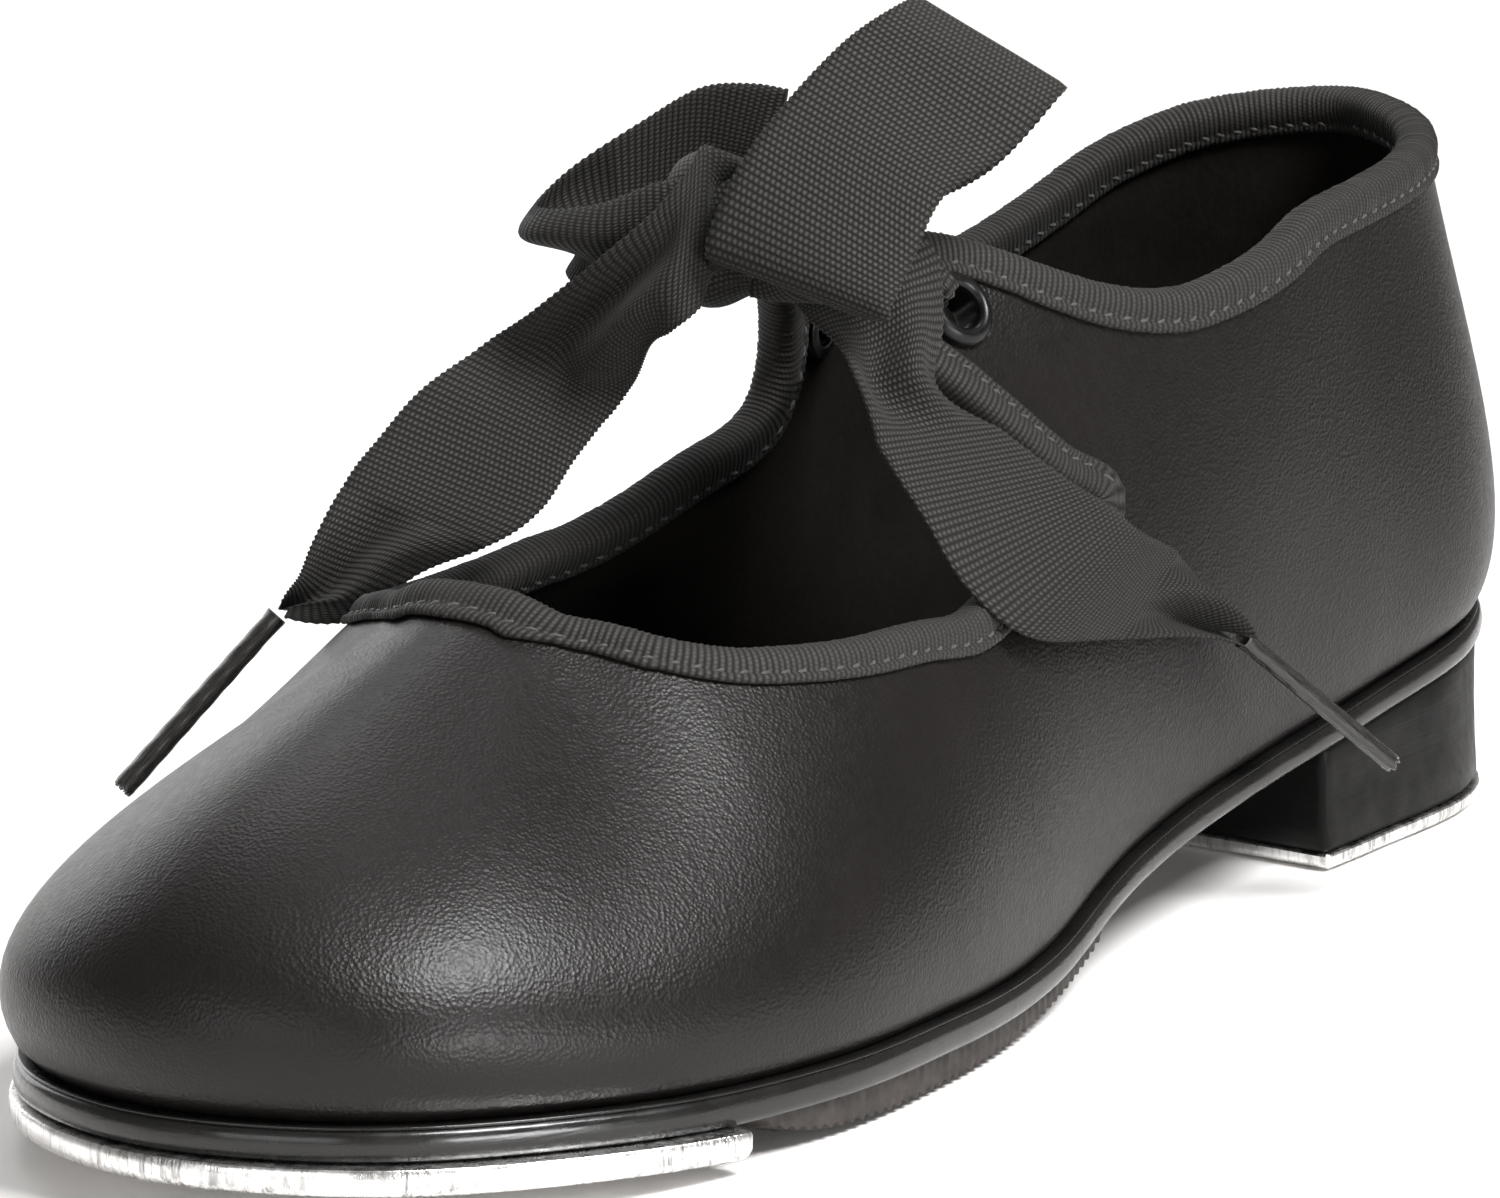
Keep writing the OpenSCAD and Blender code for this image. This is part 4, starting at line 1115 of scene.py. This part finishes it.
EYELET = [(2.1, .6), (2.3, 1.15), (2.75, 1.42), (3.2, 1.3), (3.62, .9), (3.8, .45), (3.6, .28),
    (2.9, .3), (2.56, .1), (2.54, -1.6), (2.5, -2.7), (2.2, -2.85), (2.1, -2.2), (2.1, -.8)]
WASHER_RING = [(2.62, -3.2), (3.2, -3.25), (3.7, -3.18), (3.7, -2.9), (3.2, -2.83), (2.62, -2.88)]
eyelets = {}
for side, place in (("outer", OUTER_EYELET), ("inner", INNER_EYELET)):
    eyelets[side + "_eyelet"] = turned(side + "_eyelet_ring", EYELET, place, ENAMEL)
    eyelets[side + "_eyelet_washer"] = turned(side + "_washer_ring", WASHER_RING, place, WASHER)


def screw_piece(name, places, length, to_row):
    """Countersunk screws with a cross recess."""
    r, R = SHANK_D / 2, HEAD_D / 2
    profile = [(.0005, .02), (R - .15, .02), (R, .1), (r, HEAD_H), (r, length - .9),
        (.25, length), (.0005, length)]
    p, f = revolve(profile, 40)
    body = make(name, p, f, SCREW)
    weld(body, 2e-6)
    for across, along in ((.42, 1.3), (1.3, .42)):
        box = np.array([[x, y, z] for x in (-across, across) for y in (-along, along)
            for z in (-1, .75)])
        sides = [(0, 1, 3, 2), (4, 6, 7, 5), (0, 4, 5, 1), (2, 3, 7, 6), (0, 2, 6, 4), (1, 5, 7, 3)]
        cut(body, box, sides)
    one = np.array([v.co for v in body.data.vertices]) / MM
    polygons = [list(q.vertices) for q in body.data.polygons]
    points, faces = [], []
    for k, (x, y) in enumerate(places):
        c, s = math.cos(.7 + 1.1 * k), math.sin(.7 + 1.1 * k)
        spin = one @ [[c, s, 0], [-s, c, 0], [0, 0, 1]]
        points.append(to_row(spin[:, 0] + x, spin[:, 1] + y, spin[:, 2]))
        faces += [[q + k * len(one) for q in face] for face in polygons]
    bpy.data.objects.remove(body)
    obj = make(name, np.concatenate(points), faces, SCREW)
    shade_by_angle(obj, 30)
    return obj


toe_screws = screw_piece("toe_screw_set", TOE_SCREWS, 5.3, tap_point)
heel_screws = screw_piece("heel_screw_set", HEEL_SCREWS, 11, flat_place)

# ---- bodies and replaced nodes ----


def rides(obj, node, body="shoe"):
    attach(obj, body)
    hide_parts(node)


for piece, slot, node in ((upper, "upper", "upper"), (lining, "lining", "lining"),
        (binding, "binding", "topline_binding")):
    rides(piece, node)
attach(stitches, "shoe")
for piece, slot, node in ((loop_outer, "ribbon", "ribbon_loop_outer"),
        (loop_inner, "ribbon", "ribbon_loop_inner"), (knot, "ribbon", "ribbon_knot"),
        (span, "ribbon", "ribbon_span"), (sole, "sole", "outsole"), (toe_tap, "tap", "toe_tap"),
        (heel_block, "heel", "heel_block"), (heel_tap, "tap", "heel_tap"),
        (grip_pad, "pad", "grip_pad"), (sock, "sock", "sock_liner"),
        (toe_screws, "screw", "toe_tap_screws"), (heel_screws, "screw", "heel_tap_screws")):
    rides(piece, node)
rides(tip_outer, "aglet_outer", "outer_tail")
rides(tip_inner, "aglet_inner", "inner_tail")
for node, piece in eyelets.items():
    rides(piece, node)


def bend_tail(obj, nodes):
    """Bakes the tail's placement into its points and hides the CAD nodes it stands in for."""
    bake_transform(obj)
    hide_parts(*nodes)


bend_tail(tail_outer, ("ribbon_tail_outer", "ribbon_lead_outer"))
bend_tail(tail_inner, ("ribbon_tail_inner", "ribbon_lead_inner"))

for node, paint in (("heel_nails", STEEL), ("shank", STEEL), ("bottom_filler", FILLER),
        ("insole_board", BOARD), ("heel_counter", STIFFENER), ("toe_puff", STIFFENER)):
    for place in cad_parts[node].material_slots:
        place.material = paint

# ---- floor, light and camera ----

pale = Paint("pale_floor", .7)
pale.tint(pale.noise(6, 2), (.3, grey(.9, .015)), (.7, grey(.93, .015)))
FLOOR_HALF = 4000
floor = make("floor", [(x * FLOOR_HALF, y * FLOOR_HALF, 0)
    for x, y in ((-1, -1), (1, -1), (1, 1), (-1, 1))], [(0, 1, 2, 3)], pale.m)
floor.location.z = -.0002


def area_light(name, at, target, size, watts, spread=180):
    data = bpy.data.lights.new(name, "AREA")
    data.shape, data.size, data.size_y = "RECTANGLE", size[0], size[1]
    data.energy, data.spread = watts, math.radians(spread)
    obj = bpy.data.objects.new(name, data)
    obj.location = at
    obj.rotation_euler = (Vector(target) - Vector(at)).to_track_quat("-Z", "Y").to_euler()
    bpy.context.collection.objects.link(obj)


HEART, TOE = (0, -.08, .04), (.024, -.16, .022)
area_light("key_box", (.62, -.12, .82), TOE, (.38, .38), 2.7, spread=70)
area_light("overhead_box", (-.15, -.1, 1.2), HEART, (1.2, .9), .36, spread=80)
area_light("left_box", (-.95, .28, .38), HEART, (.7, .7), 3)
area_light("right_box", (1.15, -.4, .1), TOE, (.5, .16), 7)
area_light("front_box", (.25, -1.25, .3), HEART, (.7, .4), 2.2)
area_light("back_box", (-.6, .5, 1.0), (-.38, .32, 0), (.7, .7), 1.5, spread=65)

world = bpy.data.worlds.new("studio")
bpy.context.scene.world = world
world.use_nodes = True
air = world.node_tree.nodes["Background"].inputs
air[0].default_value, air[1].default_value = (1, .97, .95, 1), .2

CAMERA_AT, LENS = (.5718, -.8393, .2574), 246.9
YAW, PITCH, ROLL = .6483, .228, -.0284
forward = Vector((-math.sin(YAW) * math.cos(PITCH), math.cos(YAW) * math.cos(PITCH),
    -math.sin(PITCH)))
right = Vector((math.cos(YAW), math.sin(YAW), 0))
above = right.cross(forward)
side = right * math.cos(ROLL) + above * math.sin(ROLL)
top = -right * math.sin(ROLL) + above * math.cos(ROLL)
camera_data = bpy.data.cameras.new("camera")
camera_data.lens, camera_data.sensor_width = LENS, 36
camera_data.clip_start, camera_data.clip_end = .01, 20
camera = bpy.data.objects.new("camera", camera_data)
axes = Matrix((side, top, -forward)).transposed().to_4x4()
camera.matrix_world = Matrix.Translation(CAMERA_AT) @ axes
bpy.context.collection.objects.link(camera)
bpy.context.scene.camera = camera
bpy.context.scene.view_settings.view_transform = "Standard"
